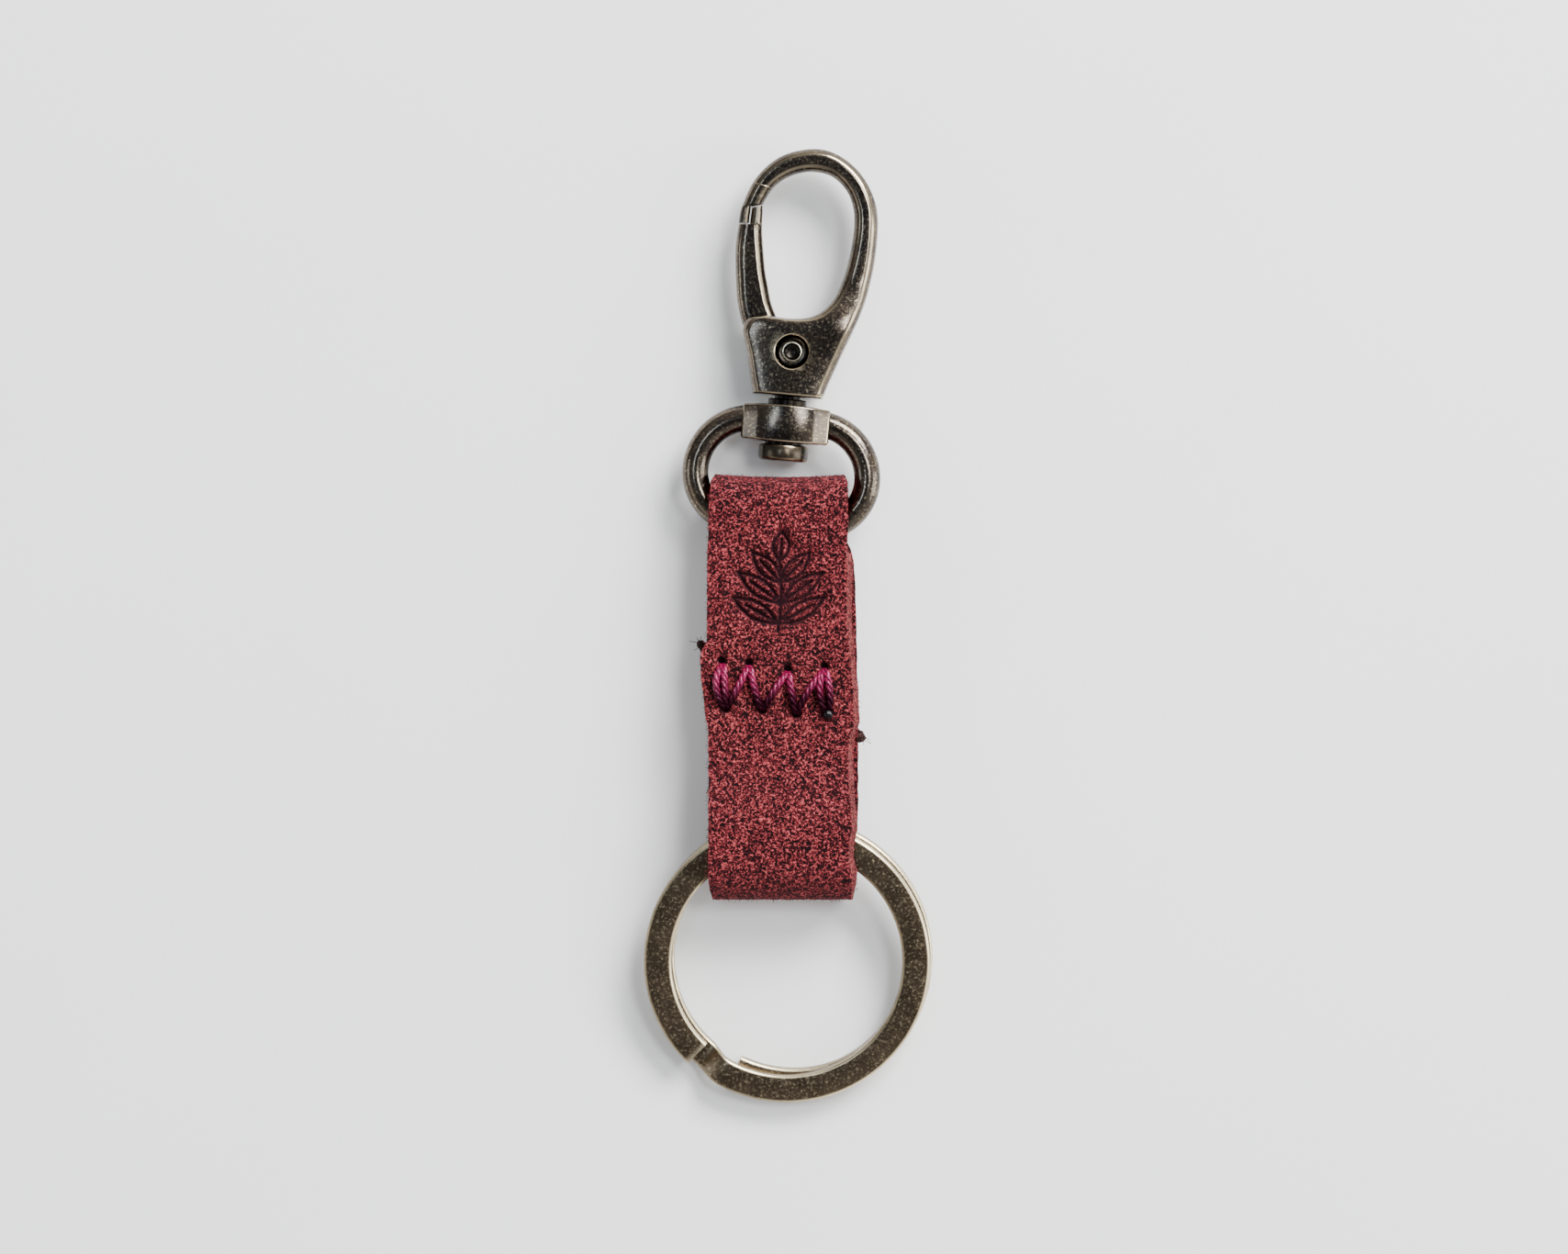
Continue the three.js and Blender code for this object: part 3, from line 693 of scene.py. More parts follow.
HOOK_EDGES = [
    # outer x, outer y, inner x, inner y, from the nose to the foot of the body
    (-6.76, 25.95, -5.68, 26.0),
    (-6.74, 26.5, -5.66, 26.7),
    (-6.68, 27.2, -5.62, 27.45),
    (-6.6, 27.65, -5.6, 27.78),
    (-6.55, 27.9, -4.35, 28.12),
    (-6.4, 28.4, -4.2, 28.5),
    (-6.0, 29.6, -3.8, 29.35),
    (-5.5, 30.65, -3.3, 30.1),
    (-4.7, 31.8, -2.5, 30.85),
    (-3.7, 32.8, -1.7, 31.35),
    (-2.5, 33.6, -0.8, 31.72),
    (-1.1, 34.12, 0.1, 31.93),
    (0.2, 34.4, 0.9, 31.98),
    (1.5, 34.42, 1.7, 31.9),
    (2.8, 34.1, 2.5, 31.68),
    (4.0, 33.5, 3.3, 31.2),
    (5.2, 32.6, 4.0, 30.55),
    (6.2, 31.5, 4.55, 29.8),
    (7.0, 30.2, 4.98, 28.8),
    (7.5, 29.0, 5.22, 27.9),
    (7.8, 27.5, 5.32, 26.7),
    (7.9, 25.9, 5.3, 25.4),
    (7.88, 24.0, 5.15, 23.8),
    (7.75, 22.2, 4.9, 22.2),
    (7.5, 20.4, 4.5, 20.6),
    (7.2, 18.8, 3.95, 19.15),
    (6.75, 17.2, 3.2, 18.0),
    (6.3, 15.9, 2.2, 17.1),
    (5.9, 14.8, 0.9, 16.6),
    (5.55, 13.9, -0.8, 16.42),
    (5.25, 13.1, -2.4, 16.5),
    (5.0, 12.4, -3.9, 16.55),
    (4.75, 11.7, -4.8, 16.22),
    (4.5, 11.0, -5.28, 15.5),
    (4.3, 10.4, -5.38, 14.7),
    (4.1, 9.85, -5.0, 13.4),
    (3.95, 9.4, -4.6, 12.0),
    (3.85, 9.1, -4.25, 10.4),
    (3.78, 8.85, -3.98, 9.3),
    (3.74, 8.72, -3.86, 8.8),
    (3.68, FOOT_Y, -3.8, FOOT_Y),
]


def smooth_rows(rows, times):
    """Puts a new row between each pair, on a curve through the rows either side."""
    for _ in range(times):
        finer = []
        for i, row in enumerate(rows[:-1]):
            before, after = rows[max(i - 1, 0)], rows[min(i + 2, len(rows) - 1)]
            middle = tuple(
                (9 * (a + b) - (p + q)) / 16 for p, a, b, q in zip(before, row, rows[i + 1], after)
            )
            finer += [row, middle]
        rows = finer + [rows[-1]]
    return rows


def edge_section(outer, inner, depth, outer_steps=EDGE_STEPS, inner_steps=EDGE_STEPS, sag=0.0):
    """One closed ring round the section: across the front from the outer edge, and back behind it."""
    outer, inner = Vector(outer), Vector(inner)
    across = inner - outer
    width = across.length
    across.normalize()
    room = min(1.0, 0.46 * width / 0.9)

    def level(inset, drop):
        """The face is highest along its middle and sags to both edges."""
        off_middle = 2 * inset / width - 1
        return 0.0 if drop is None else depth - drop * room - sag * off_middle ** 2

    front = [(inset * room, level(inset * room, drop)) for inset, drop in outer_steps]
    far = [(width - inset * room, level(inset * room, drop)) for inset, drop in inner_steps]
    first, last = front[-1][0], far[-1][0]
    face = []
    for i in range(1, FACE_STEPS):
        inset = first + (last - first) * i / FACE_STEPS
        face.append((inset, level(inset, 0.0)))
    line = front + face + far[::-1]
    back = [(d, -z) for d, z in line[-2:0:-1]]
    return [Vector((*(outer + across * d), z)) for d, z in line + back]


def make_hook():
    rings = []
    rows = smooth_rows(HOOK_EDGES[:NOSE_ROWS], 1) + smooth_rows(HOOK_EDGES[NOSE_ROWS:], 2)
    seam = next(i for i, row in enumerate(rows) if row[1] > SEAM_Y)
    before, after = rows[seam - 1], rows[seam]
    rows[seam:seam] = [tuple(a + (b - a) * t for a, b in zip(before, after)) for t in (0.25, 0.5, 0.75)]
    for i, (ox, oy, ix, iy) in enumerate(rows):
        height = (oy + iy) / 2
        thick = 1 - blend_in(height, *BODY_TO_LIMB) if ox > 0 else 0
        limb = 1 - blend_in(height, *LIMB_TO_TOP) if ox > 0 else 0
        depth = BAR_DEPTH + (BODY_DEPTH - BAR_DEPTH) * thick
        if i == seam + 1:
            depth += SEAM_HEIGHT
        sag = LIMB_SAG * limb * (1 - thick) + BODY_SAG * thick
        rings.append(edge_section((ox, oy), (ix, iy), depth, sag=sag))
    for inset, drop in FOOT_STEPS:
        ox, oy, ix, iy = rows[-1]
        level = FOOT_Y - inset
        ends = (ox - 0.12 * inset, level), (ix + 0.12 * inset, level)
        rings.append(edge_section(*ends, BODY_DEPTH - drop, sag=BODY_SAG))
    return roll_sheet("hook_casting", rings)


hook = make_hook()
print("hook rings rolled:", len(hook.data.vertices), "points")

# %% [markdown]
# The body is hollow between its two cheeks, so that the gate can turn in it. A slot, a bore for the
# rivet, a bore for the stud and two dished recesses are made as tools and cut out of the casting.

# %% Slot, bores and recesses
PIVOT = (0.0, 12.93)
SLOT_HALF_DEPTH = 1.6
SLOT_RADIUS = 2.6
RIVET_BORE = 1.0
THROUGH = 4.0 # reaches past both faces


def make_slot():
    """A plate with the outline of the room that the gate turns in."""
    corners = [(-7.5, 20), (-7.5, 12.4), (-4.9, 12.4)]
    for degrees in range(223, 361, 8):
        angle = math.radians(degrees)
        corners.append((PIVOT[0] + SLOT_RADIUS * math.cos(angle), PIVOT[1] + SLOT_RADIUS * math.sin(angle)))
    corners += [(SLOT_RADIUS, 14.6), (1.3, 16.0), (1.3, 20)]
    slot = add("slot", bpy.ops.mesh.primitive_circle_add, vertices=len(corners), radius=1, fill_type="NGON")
    for vert, corner in zip(slot.data.vertices, corners):
        vert.co = (*corner, -SLOT_HALF_DEPTH)
    edit_all()
    bpy.ops.mesh.extrude_region_move(TRANSFORM_OT_translate={"value": (0, 0, 2 * SLOT_HALF_DEPTH)})
    leave_edit()
    tidy_mesh(slot)
    return slot


pivot_place = Matrix.Translation((*PIVOT, 0))
turned_over = pivot_place @ Matrix.Rotation(math.pi, 4, "X")
recess = [(1.32, 2.1), (1.42, 2.13), (1.62, 2.32), (1.74, 2.62), (1.80, 2.72), (1.92, 2.81), (2.05, 3.4)]
combine(hook, make_slot(), "DIFFERENCE")
drill(hook, "rivet_bore", [(RIVET_BORE, -THROUGH), (RIVET_BORE, THROUGH)], pivot_place)
drill(hook, "recess", recess, pivot_place, 64)
drill(hook, "back_recess", recess, turned_over, 64)
drill(hook, "stud_bore", [(1.7, 7), (1.7, 9.9)], LAID_ALONG_Y)
tidy_mesh(hook, merge=1e-3)
mark_wear_and_highlight(hook, flat=0.75, sharp=2.2)
ease_wear_and_highlight(hook, 0.25, lambda p: p.x < -4 and 25 < p.y < 28.7)
ease_wear_and_highlight(hook, 0.55, lambda p: p.y > 29 and p.x < 3.5)
# painted shade in the step of the nose, where the gate's tip sits
add_painted_shade(hook, 0.5, lambda p: p.x < -5.3 and 25 < p.y < 28.1)
# painted shade in the dished recess round the rivet
add_painted_shade(hook, 0.85, lambda p: 1.1 < math.hypot(p.x - PIVOT[0], p.y - PIVOT[1]) < 1.78)
settle(hook, swivel_place)
finish_piece(hook, "hook", "antique_brass", cast_brass, "hook_body")

# %% [markdown]
# ## The gate
# The gate is a second casting that closes the hook. Its inner edge has a wide bevel that catches the light
# in one long line, and its tip is stepped to sit in the nose. At the foot it runs into a round
# boss, forked for the spring and bored for the rivet.

# %% Gate
GATE_DEPTH = 1.4
GATE_OUTER_STEPS = [
    (0.0, None), (0.06, 0.62), (0.2, 0.36), (0.4, 0.18), (0.62, 0.07), (0.84, 0.02), (1.0, 0.0),
]
GATE_INNER_STEPS = [
    (0.0, None), (0.06, 0.62), (0.14, 0.5), (0.42, 0.22), (0.62, 0.05), (0.78, 0.01), (0.9, 0.0),
]
BOSS = [(2.15, -1.4), (2.3, -1.25), (2.3, 1.25), (2.15, 1.4)]
FORK = [(3.6, -0.75), (3.6, 0.75)]

GATE_EDGES = [
    (-5.5, 27.65, -4.38, 27.97),
    (-5.53, 27.1, -4.34, 27.3),
    (-5.57, 26.25, -4.3, 26.45),
    (-5.59, 25.9, -4.29, 26.1),
    (-6.74, 25.83, -4.26, 25.9),
    (-6.82, 24.9, -4.17, 25.0),
    (-6.86, 23.6, -3.98, 23.8),
    (-6.8, 22.4, -3.75, 22.4),
    (-6.65, 21.0, -3.48, 21.0),
    (-6.45, 19.5, -3.1, 19.6),
    (-6.2, 17.9, -2.65, 18.0),
    (-5.85, 16.6, -2.15, 16.9),
    (-5.4, 15.4, -1.6, 15.9),
    (-4.8, 14.5, -1.0, 15.1),
    (-3.9, 13.7, -0.4, 14.6),
]


def make_gate():
    rows = smooth_rows(GATE_EDGES[:NOSE_ROWS], 1) + smooth_rows(GATE_EDGES[NOSE_ROWS:], 2)
    rings = [
        edge_section((ox, oy), (ix, iy), GATE_DEPTH, GATE_OUTER_STEPS, GATE_INNER_STEPS)
        for ox, oy, ix, iy in rows
    ]
    arm = roll_sheet("gate_arm", rings)
    combine(arm, hold_place(turn_up("boss", BOSS), pivot_place), "UNION")
    drill(arm, "fork", FORK, pivot_place)
    drill(arm, "gate_bore", [(RIVET_BORE, -THROUGH), (RIVET_BORE, THROUGH)], pivot_place)
    tidy_mesh(arm, merge=1e-3)
    return arm


gate = make_gate()
mark_wear_and_highlight(gate, flat=0.75, sharp=2.2)
# the tip keeps less of its wear, and the outer left edge is painted darker, as painted shade on the side away
# from the light
ease_wear_and_highlight(gate, 0.3, lambda p: p.y > 25.3 or p.x < -6.3)
settle(gate, swivel_place)
finish_piece(gate, "gate", "antique_brass", cast_brass, "gate")

# %% [markdown]
# ## The rivet and the spring
# The rivet is hollow at the front: its rim is rolled over into a bright ring round a dark dimple, and the
# dimple is painted dark, as painted shade. The spring is hidden inside the fork. Its shape is right as it
# is, so it only gets its finish.

# %% Rivet and spring
rivet = turn_up(
    "hollow_rivet",
    [
        (1.0, -2.8), (1.1, -2.74), (1.1, -2.2), (0.9, -2.18), (0.9, 2.1), (0.98, 2.14), (1.04, 2.28),
        (1.04, 2.44), (1.0, 2.53), (0.94, 2.54), (0.88, 2.47), (0.84, 2.32), (0.74, 2.18), (0.55, 2.06),
        (0.3, 1.99), (0.1, 1.98),
    ],
)
mark_wear_and_highlight(rivet, flat=0.9, sharp=2.0)
# painted shade in the rivet's dimple and on its shank down in the bore
add_painted_shade(rivet, 0.85, lambda p: p.xy.length < 0.86 or p.z < 2.4)
settle(rivet, swivel_place @ pivot_place)
rim_brass = antique_brass(
    "rivet_antique_brass", (0.05, 0.042, 0.036), (0.08, 0.065, 0.05), (0.86, 0.78, 0.58), wear=1.5
)
finish_piece(rivet, "hook", "antique_brass", rim_brass, "gate_rivet")

spring = frame["nodes"]["gate_spring"]
for slot in spring.material_slots:
    slot.link = "OBJECT"
    slot.material = spring_wire

# %% [markdown]
# ## The strap
# The strap is one strip of suede. Seen from the side its line runs from one flap, round the loop, down the
# front, round the ring and back up behind. The section across it is a wide thin band whose cut
# edges slant, because the knife leaned. The width wanders a little, as a hand-cut strip does.

# %% The strap's line
LEATHER = 1.4
FOLD_TOP_Y = 15.96
FOLD_BOTTOM_Y = -28.65
HOOK_EYE = 2.45
RING_EYE = 3.5
FRONT_Z = 7.0
MIDDLE_Z = 5.5
BACK_Z = 4.0

HOOK_FOLD_Y = FOLD_TOP_Y - HOOK_EYE - LEATHER # the middles of the two folds
RING_FOLD_Y = FOLD_BOTTOM_Y + RING_EYE + LEATHER
HOOK_FOLD_Z = HOOK_EYE + LEATHER
RING_FOLD_Z = RING_EYE + LEATHER
FLAP_END_Y = -11.6 # the hidden ends of the strip
BACK_END_Y = -2.0
PARTING_Y = -12.7 # below this the front and the back part to go round the ring
STAMP_TOP_Y = 10.6 # rows are closest between these, where the stamp is
STAMP_BOTTOM_Y = -1.2

LEFT_EDGE = [
    (17, -6.95), (16.0, -7.0), (15.5, -7.4), (14.6, -8.0), (12, -8.15), (5, -8.35), (-1.5, -8.35),
    (-2.4, -8.8), (-3.24, -9.06), (-5.4, -8.93), (-8.4, -8.67), (-10.5, -8.29), (-13, -8.2),
    (-26.2, -8.2), (-27.2, -7.98), (-28.8, -7.5),
]
RIGHT_EDGE = [
    (17, 6.2), (15.6, 6.3), (14.6, 6.45), (9, 6.5), (6.5, 6.85), (0, 6.85), (-2.4, 7.14), (-5, 7.28),
    (-6.7, 7.45), (-10.1, 7.58), (-11.8, 7.05), (-13.3, 6.9), (-17, 7.1), (-21, 7.35), (-24.3, 6.95),
    (-25.8, 7.35), (-28.5, 7.2),
]


def rise(from_y, from_z, to_y, to_z, spacing):
    count = max(2, round(abs(to_y - from_y) / spacing))
    return [
        (from_y + (to_y - from_y) * i / count, from_z + (to_z - from_z) * blend_in(i / count, 0, 1))
        for i in range(count + 1)
    ]


def half_turn(y, z, radius, from_deg, to_deg, count):
    points = []
    for i in range(count + 1):
        angle = math.radians(from_deg + (to_deg - from_deg) * i / count)
        points.append((y + radius * math.cos(angle), z + radius * math.sin(angle)))
    return points


def strap_line():
    half = LEATHER / 2
    flap_y = HOOK_FOLD_Y - 8.2 # the flap comes down to the back of the fold from here
    ring_y = RING_FOLD_Y + 1.9 # the strip runs level into the ring's fold from here
    ring_front = RING_FOLD_Z + RING_EYE + half
    line = rise(FLAP_END_Y, MIDDLE_Z, flap_y, MIDDLE_Z, 0.6)
    line += rise(flap_y, MIDDLE_Z, HOOK_FOLD_Y - 1.6, half, 0.4)[1:]
    line += half_turn(HOOK_FOLD_Y, HOOK_FOLD_Z, HOOK_EYE + half, -90, 90, 44)
    line += rise(HOOK_FOLD_Y - 0.2, FRONT_Z, STAMP_TOP_Y, FRONT_Z, 0.2)
    line += rise(STAMP_TOP_Y, FRONT_Z, STAMP_BOTTOM_Y, FRONT_Z, 0.11)[1:]
    line += rise(STAMP_BOTTOM_Y, FRONT_Z, PARTING_Y, FRONT_Z, 0.17)[1:]
    line += rise(PARTING_Y, FRONT_Z, ring_y, ring_front, 0.2)[1:]
    line += rise(ring_y, ring_front, RING_FOLD_Y + 0.2, ring_front, 0.2)[1:]
    line += half_turn(RING_FOLD_Y, RING_FOLD_Z, RING_EYE + half, 90, 270, 60)
    line += rise(RING_FOLD_Y, half, ring_y, half, 0.5)[1:]
    line += rise(ring_y, half, PARTING_Y, BACK_Z, 0.4)[1:]
    line += rise(PARTING_Y, BACK_Z, BACK_END_Y, BACK_Z, 0.6)[1:]
    return line


line = strap_line()
print("strap line:", len(line), "stations")

# %% [markdown]
# The front carries a stamped sprig: a stem and paired leaves, pressed in with a cold tool. The lines are
# only a list of strokes here. Each point of the leather looks up how far it is from the nearest stroke,
# sinks if it is inside, and lifts a little at the rim, where the leather was pushed up.

# %% The stamped sprig
def leaf(base, tip, belly):
    """Two curved sides and a vein, from the base of a leaf to its tip."""
    base, tip = Vector(base), Vector(tip)
    side = Vector((-(tip - base).y, (tip - base).x)).normalized() * belly
    strokes = []
    steps = [i / 8 for i in range(9)]
    for sign in (1, -1):
        strokes.append([base.lerp(tip, t) + sign * side * math.sin(math.pi * t) for t in steps])
    strokes.append([base.lerp(tip, 0.12), base.lerp(tip, 0.72)])
    return strokes


def sprig():
    stem = [Vector((-0.95 + 0.35 * math.sin(i / 4), -0.5 + i * 0.72)) for i in range(11)]
    strokes = [stem]
    for step, length, lean in ((1, 5.5, 30), (4, 5.4, 36), (7, 4.3, 46)):
        for side in (-1, 1):
            angle = math.radians(lean)
            tip = stem[step] + Vector((side * math.cos(angle), math.sin(angle))) * length
            strokes += leaf(stem[step], tip, 0.85)
    strokes += leaf(stem[10], stem[10] + Vector((0.25, 3.2)), 0.85)
    return [(a, b) for stroke in strokes for a, b in zip(stroke, stroke[1:])]


SPRIG = sprig()
GROOVE = 0.19
PRESS_DEPTH = 0.34
SPREAD_DEPTH = 0.24 # the leather round each line goes down with it


def from_stroke(x, y):
    nearest = 9.0
    for a, b in SPRIG:
        ab = b - a
        t = min(max(((x - a.x) * ab.x + (y - a.y) * ab.y) / ab.length_squared, 0.0), 1.0)
        nearest = min(nearest, math.hypot(x - a.x - ab.x * t, y - a.y - ab.y * t))
    return nearest


print("sprig strokes:", len(SPRIG))

# %% [markdown]
# The band is rolled from one grid, like the castings, but its outer side is much finer than its inner
# side, because that is where the stamp, the thread holes and the nap are. Beside the loop the right
# edge is pared underneath, which leaves room for the loop to swing past.

# %% The strap
ACROSS = 118
INNER_ACROSS = 14
LEFT_EDGE_BEHIND = [(17, -7.5), (9.5, -7.65), (7, -8.1), (-26, -8.1), (-29, -7.6)]
RIGHT_EDGE_BEHIND = [
    (17, 5.9), (9.6, 5.9), (8.5, 6.2), (7.4, 6.75), (6.0, 7.1), (-2, 7.3), (-12, 7.5), (-21, 7.45),
    (-24, 7.15), (-29, 7.2),
]
EDGE_POINTS = [(0.18, 0.12), (0.5, 0.5), (0.85, 0.9)] # how far along the slant and down the cut edge
THREAD_HOLES = [
    (-6.8, -3.6), (-6.35, -8.6), (-3.99, -3.84), (-2.55, -8.75),
    (0.05, -4.5), (1.0, -9.2), (3.9, -4.2), (4.25, -9.15),
]


def tufts(x, y, z):
    at = Vector((x, y, z))
    return 0.05 * noise.noise(at * 2.6) + 0.022 * noise.noise(at * 5.9)


def pressed_in(x, y):
    """How deep the front sinks at a point, and how dark it is painted there: the crushing of the nap in the
    stamp, and painted shade in the thread holes.
    """
    depth, crushed_and_shaded = 0.0, 0.0
    if y > -1.6:
        d = from_stroke(x, y)
        depth += PRESS_DEPTH * (1 - blend_in(d, 0.5 * GROOVE, 1.75 * GROOVE))
        depth += SPREAD_DEPTH * (1 - blend_in(d, 0.25, 1.0))
        depth -= 0.08 * blend_in(d, 0.8, 1.1) * (1 - blend_in(d, 1.1, 1.7))
        crushed_and_shaded = 1 - blend_in(d, 0.4 * GROOVE, 1.5 * GROOVE)
    else:
        for hole_x, hole_y in THREAD_HOLES:
            d = math.hypot(x - hole_x, y - hole_y)
            depth += 0.85 * (1 - blend_in(d, 0.26, 0.6)) + 0.14 * (1 - blend_in(d, 0.5, 1.3))
            # painted shade: each thread hole is painted dark
            crushed_and_shaded = max(crushed_and_shaded, 1 - blend_in(d, 0.34, 0.58))
    return depth, crushed_and_shaded


def fold_dip(x):
    """The upper fold's edge is pulled in along its middle."""
    return 0.4 * (1 - ((x + 0.4) / 7.4) ** 2)


def pared_off(y):
    """How much of the right edge is pared off underneath."""
    return 0.65 * blend_in(y, 7.2, 8.6)


def strap_ring(y, z, out_y, out_z):
    """The ring of points round the band at one station, with how dark and how pale each one is painted:
    darker for the stamp's crushing and as painted shade in the thread holes, pale on the cut edges, and less
    pale on the left cut edge as painted shade.
    """
    behind = blend_in(-out_z, -0.9, 0.9)
    left = along(LEFT_EDGE, y) * (1 - behind) + along(LEFT_EDGE_BEHIND, y) * behind
    right = along(RIGHT_EDGE, y) * (1 - behind) + along(RIGHT_EDGE_BEHIND, y) * behind
    left += 0.1 * noise.noise(Vector((y * 0.6, z * 0.6, 3.1)))
    right += 0.1 * noise.noise(Vector((y * 0.6, z * 0.6, 9.7)))
    slant = 0.08 + 0.5 * (1 - blend_in(y, 6.5, 9.5)) * (1 - behind)
    under = 0.3
    tuck = pared_off(y) * (1 - behind)
    half = LEATHER / 2
    is_front = out_z > 0.95 and -10.8 < y < 11
    ring, pressed_and_shaded, cut = [], [], []

    def put(x, off, crushed_and_shaded=0.0, cut_paleness_and_shade=0.0):
        rough = 0.07 * noise.noise(Vector((x, y * 4.5, z * 4.5))) if cut_paleness_and_shade else 0.0
        dip = fold_dip(x) * blend_in(y, 13.2, 16)
        ring.append(Vector((x + rough, y + out_y * off - dip, z + out_z * off)))
        pressed_and_shaded.append(crushed_and_shaded)
        cut.append(cut_paleness_and_shade)

    for j in range(ACROSS + 1):
        x = left + (right - slant - left) * j / ACROSS
        depth, crushed_and_shaded = pressed_in(x, y) if is_front else (0.0, 0.0)
        edge = 1.0 if j in (0, ACROSS) else 0.0
        put(x, half + tufts(x, y, z) - depth, crushed_and_shaded, 0.6 * edge)
    for share, drop in EDGE_POINTS:
        pared = tuck * blend_in(drop, 0, 0.7)
        put(right - slant + slant * share - pared, half - LEATHER * drop, cut_paleness_and_shade=1.0)
    for j in range(INNER_ACROSS + 1):
        put(right - tuck - (right - tuck - left - under) * j / INNER_ACROSS, -half)
    for share, drop in EDGE_POINTS[::-1]:
        # the left cut edge is painted about a third as pale as the right, as painted shade on the side away
        # from the light
        put(left + under * share, half - LEATHER * drop, cut_paleness_and_shade=0.35)
    return ring, pressed_and_shaded, cut


def make_strap():
    rows = []
    for i, (y, z) in enumerate(line):
        y0, z0 = line[max(i - 1, 0)]
        y1, z1 = line[min(i + 1, len(line) - 1)]
        length = math.hypot(y1 - y0, z1 - z0)
        rows.append(strap_ring(y, z, (z1 - z0) / length, -(y1 - y0) / length))
    rings, pressed_and_shaded, cut = zip(*rows)
    return roll_sheet("suede_strap", rings, marks={"pressed_and_shaded": pressed_and_shaded, "cut": cut})


strap = make_strap()
settle(strap, strap_place, 60)
finish_piece(strap, "strap", "suede", suede, "leather_strap")

# %% [markdown]
# ## Loose fibres
# What makes an edge read as suede is the fringe of short fibres that breaks its outline. They are drawn as
# fine curved threads, a few tenths of a millimetre long, along both cut edges and over both folds,
# then turned into one mesh.

# %% Loose fibres
def draw_threads(name, paths, radius, roundness=0):
    """Open paths, in millimetres, drawn as one curve with a round section and made into a mesh."""
    curve = add(name, bpy.ops.curve.primitive_nurbs_path_add)
    curve.data.splines.clear()
    curve.data.dimensions = "3D"
    curve.data.bevel_depth = radius
    curve.data.bevel_resolution = roundness
    curve.data.use_fill_caps = True
    for path in paths:
        spline = curve.data.splines.new("POLY")
        spline.points.add(len(path) - 1)
        for point, spot in zip(spline.points, path):
            point.co = (*spot, 1)
    bpy.ops.object.convert(target="MESH")
    piece = bpy.context.object
    piece.name = piece.data.name = name
    return piece


def fibre(dice, root, out, length):
    """A short curl that leaves the leather along out."""
    bend = Vector([dice.uniform(-1, 1) for _ in range(3)])
    tip = (out + bend * 0.8).normalized()
    return [root + (out * (1 - t) + tip * t) * (length * t) for t in (0, 0.35, 0.7, 1)]


EDGE_FIBRES = 900
FOLD_FIBRES = 420


def front_top(y):
    """How high the outer side of the strap is at a point along it, from fold to fold."""
    for off_centre, radius in ((y - HOOK_FOLD_Y, HOOK_FOLD_Z), (RING_FOLD_Y - y, RING_FOLD_Z)):
        if off_centre > 0:
            return radius + math.sqrt(radius * radius - off_centre * off_centre)
    rise_to_ring = 2 * RING_FOLD_Z - FRONT_Z - LEATHER / 2
    return FRONT_Z + LEATHER / 2 + rise_to_ring * blend_in(-y, -PARTING_Y, 21.85)


def edge_fibres():
    dice = random.Random(7)
    paths = []
    for _ in range(EDGE_FIBRES):
        y = dice.uniform(FOLD_BOTTOM_Y + 1.0, FOLD_TOP_Y - 1.0)
        drop = dice.uniform(0, 1)
        side = dice.choice((-1, 1))
        if side > 0 and 7.2 < y < 12.5:
            continue # the loop swings past here and keeps the edge bare
        if side < 0:
            x = along(LEFT_EDGE, y) + 0.3 * drop
        else:
            x = along(RIGHT_EDGE, y) - 0.5 * (1 - drop) * (1 - blend_in(y, 6.5, 9.5))
            x -= pared_off(y) * blend_in(drop, 0, 0.7)
        out = Vector((side, dice.uniform(-0.5, 0.5), dice.uniform(-0.2, 0.6))).normalized()
        root = Vector((x - 0.08 * side, y, front_top(y) - 0.1 - 1.2 * drop))
        paths.append(fibre(dice, root, out, dice.uniform(0.15, 0.5)))
    for _ in range(FOLD_FIBRES):
        x = dice.uniform(-7.2, 6.2)
        lean = dice.uniform(-0.9, 0.9)
        if dice.random() < 0.5:
            out = Vector((0, math.cos(lean), math.sin(lean)))
            root = Vector((x, HOOK_FOLD_Y - fold_dip(x), HOOK_FOLD_Z)) + out * (HOOK_FOLD_Z - 0.04)
        else:
            out = Vector((0, -math.cos(lean), math.sin(lean)))
            root = Vector((x, RING_FOLD_Y, RING_FOLD_Z)) + out * (RING_FOLD_Z - 0.04)
        paths.append(fibre(dice, root, out, dice.uniform(0.12, 0.38)))
    return paths


fibres = draw_threads("nap_fibres", edge_fibres(), 0.02)
settle(fibres, strap_place)
mark_points(fibres, "cut", [0.5] * len(fibres.data.vertices))
finish_piece(fibres, "strap", "suede", suede)

# %% [markdown]
# ## The stitching
# The thread is three strands twisted together. Each stitch is a path that comes out of one hole, lies across
# the suede and dives into the next hole, and the strands wind round that path. The first and last
# stitches are doubled, because that is where the sewing was locked. The thread is painted darker and
# duller towards its lower bends, as painted shade.

# %% Thread
STRAND_RADIUS = 0.22
STRAND_OFFSET = 0.2
TWIST_LENGTH = 2.3
THREAD_TOP = 8.2 # middle of the thread where it lies on the front
THREAD_UNDER = 2.92 # and where it lies on the back
FRONT_SINK = 1.3 # how deep the ends of a stitch dive
BACK_SINK = -0.9
STITCH_STEPS = 46

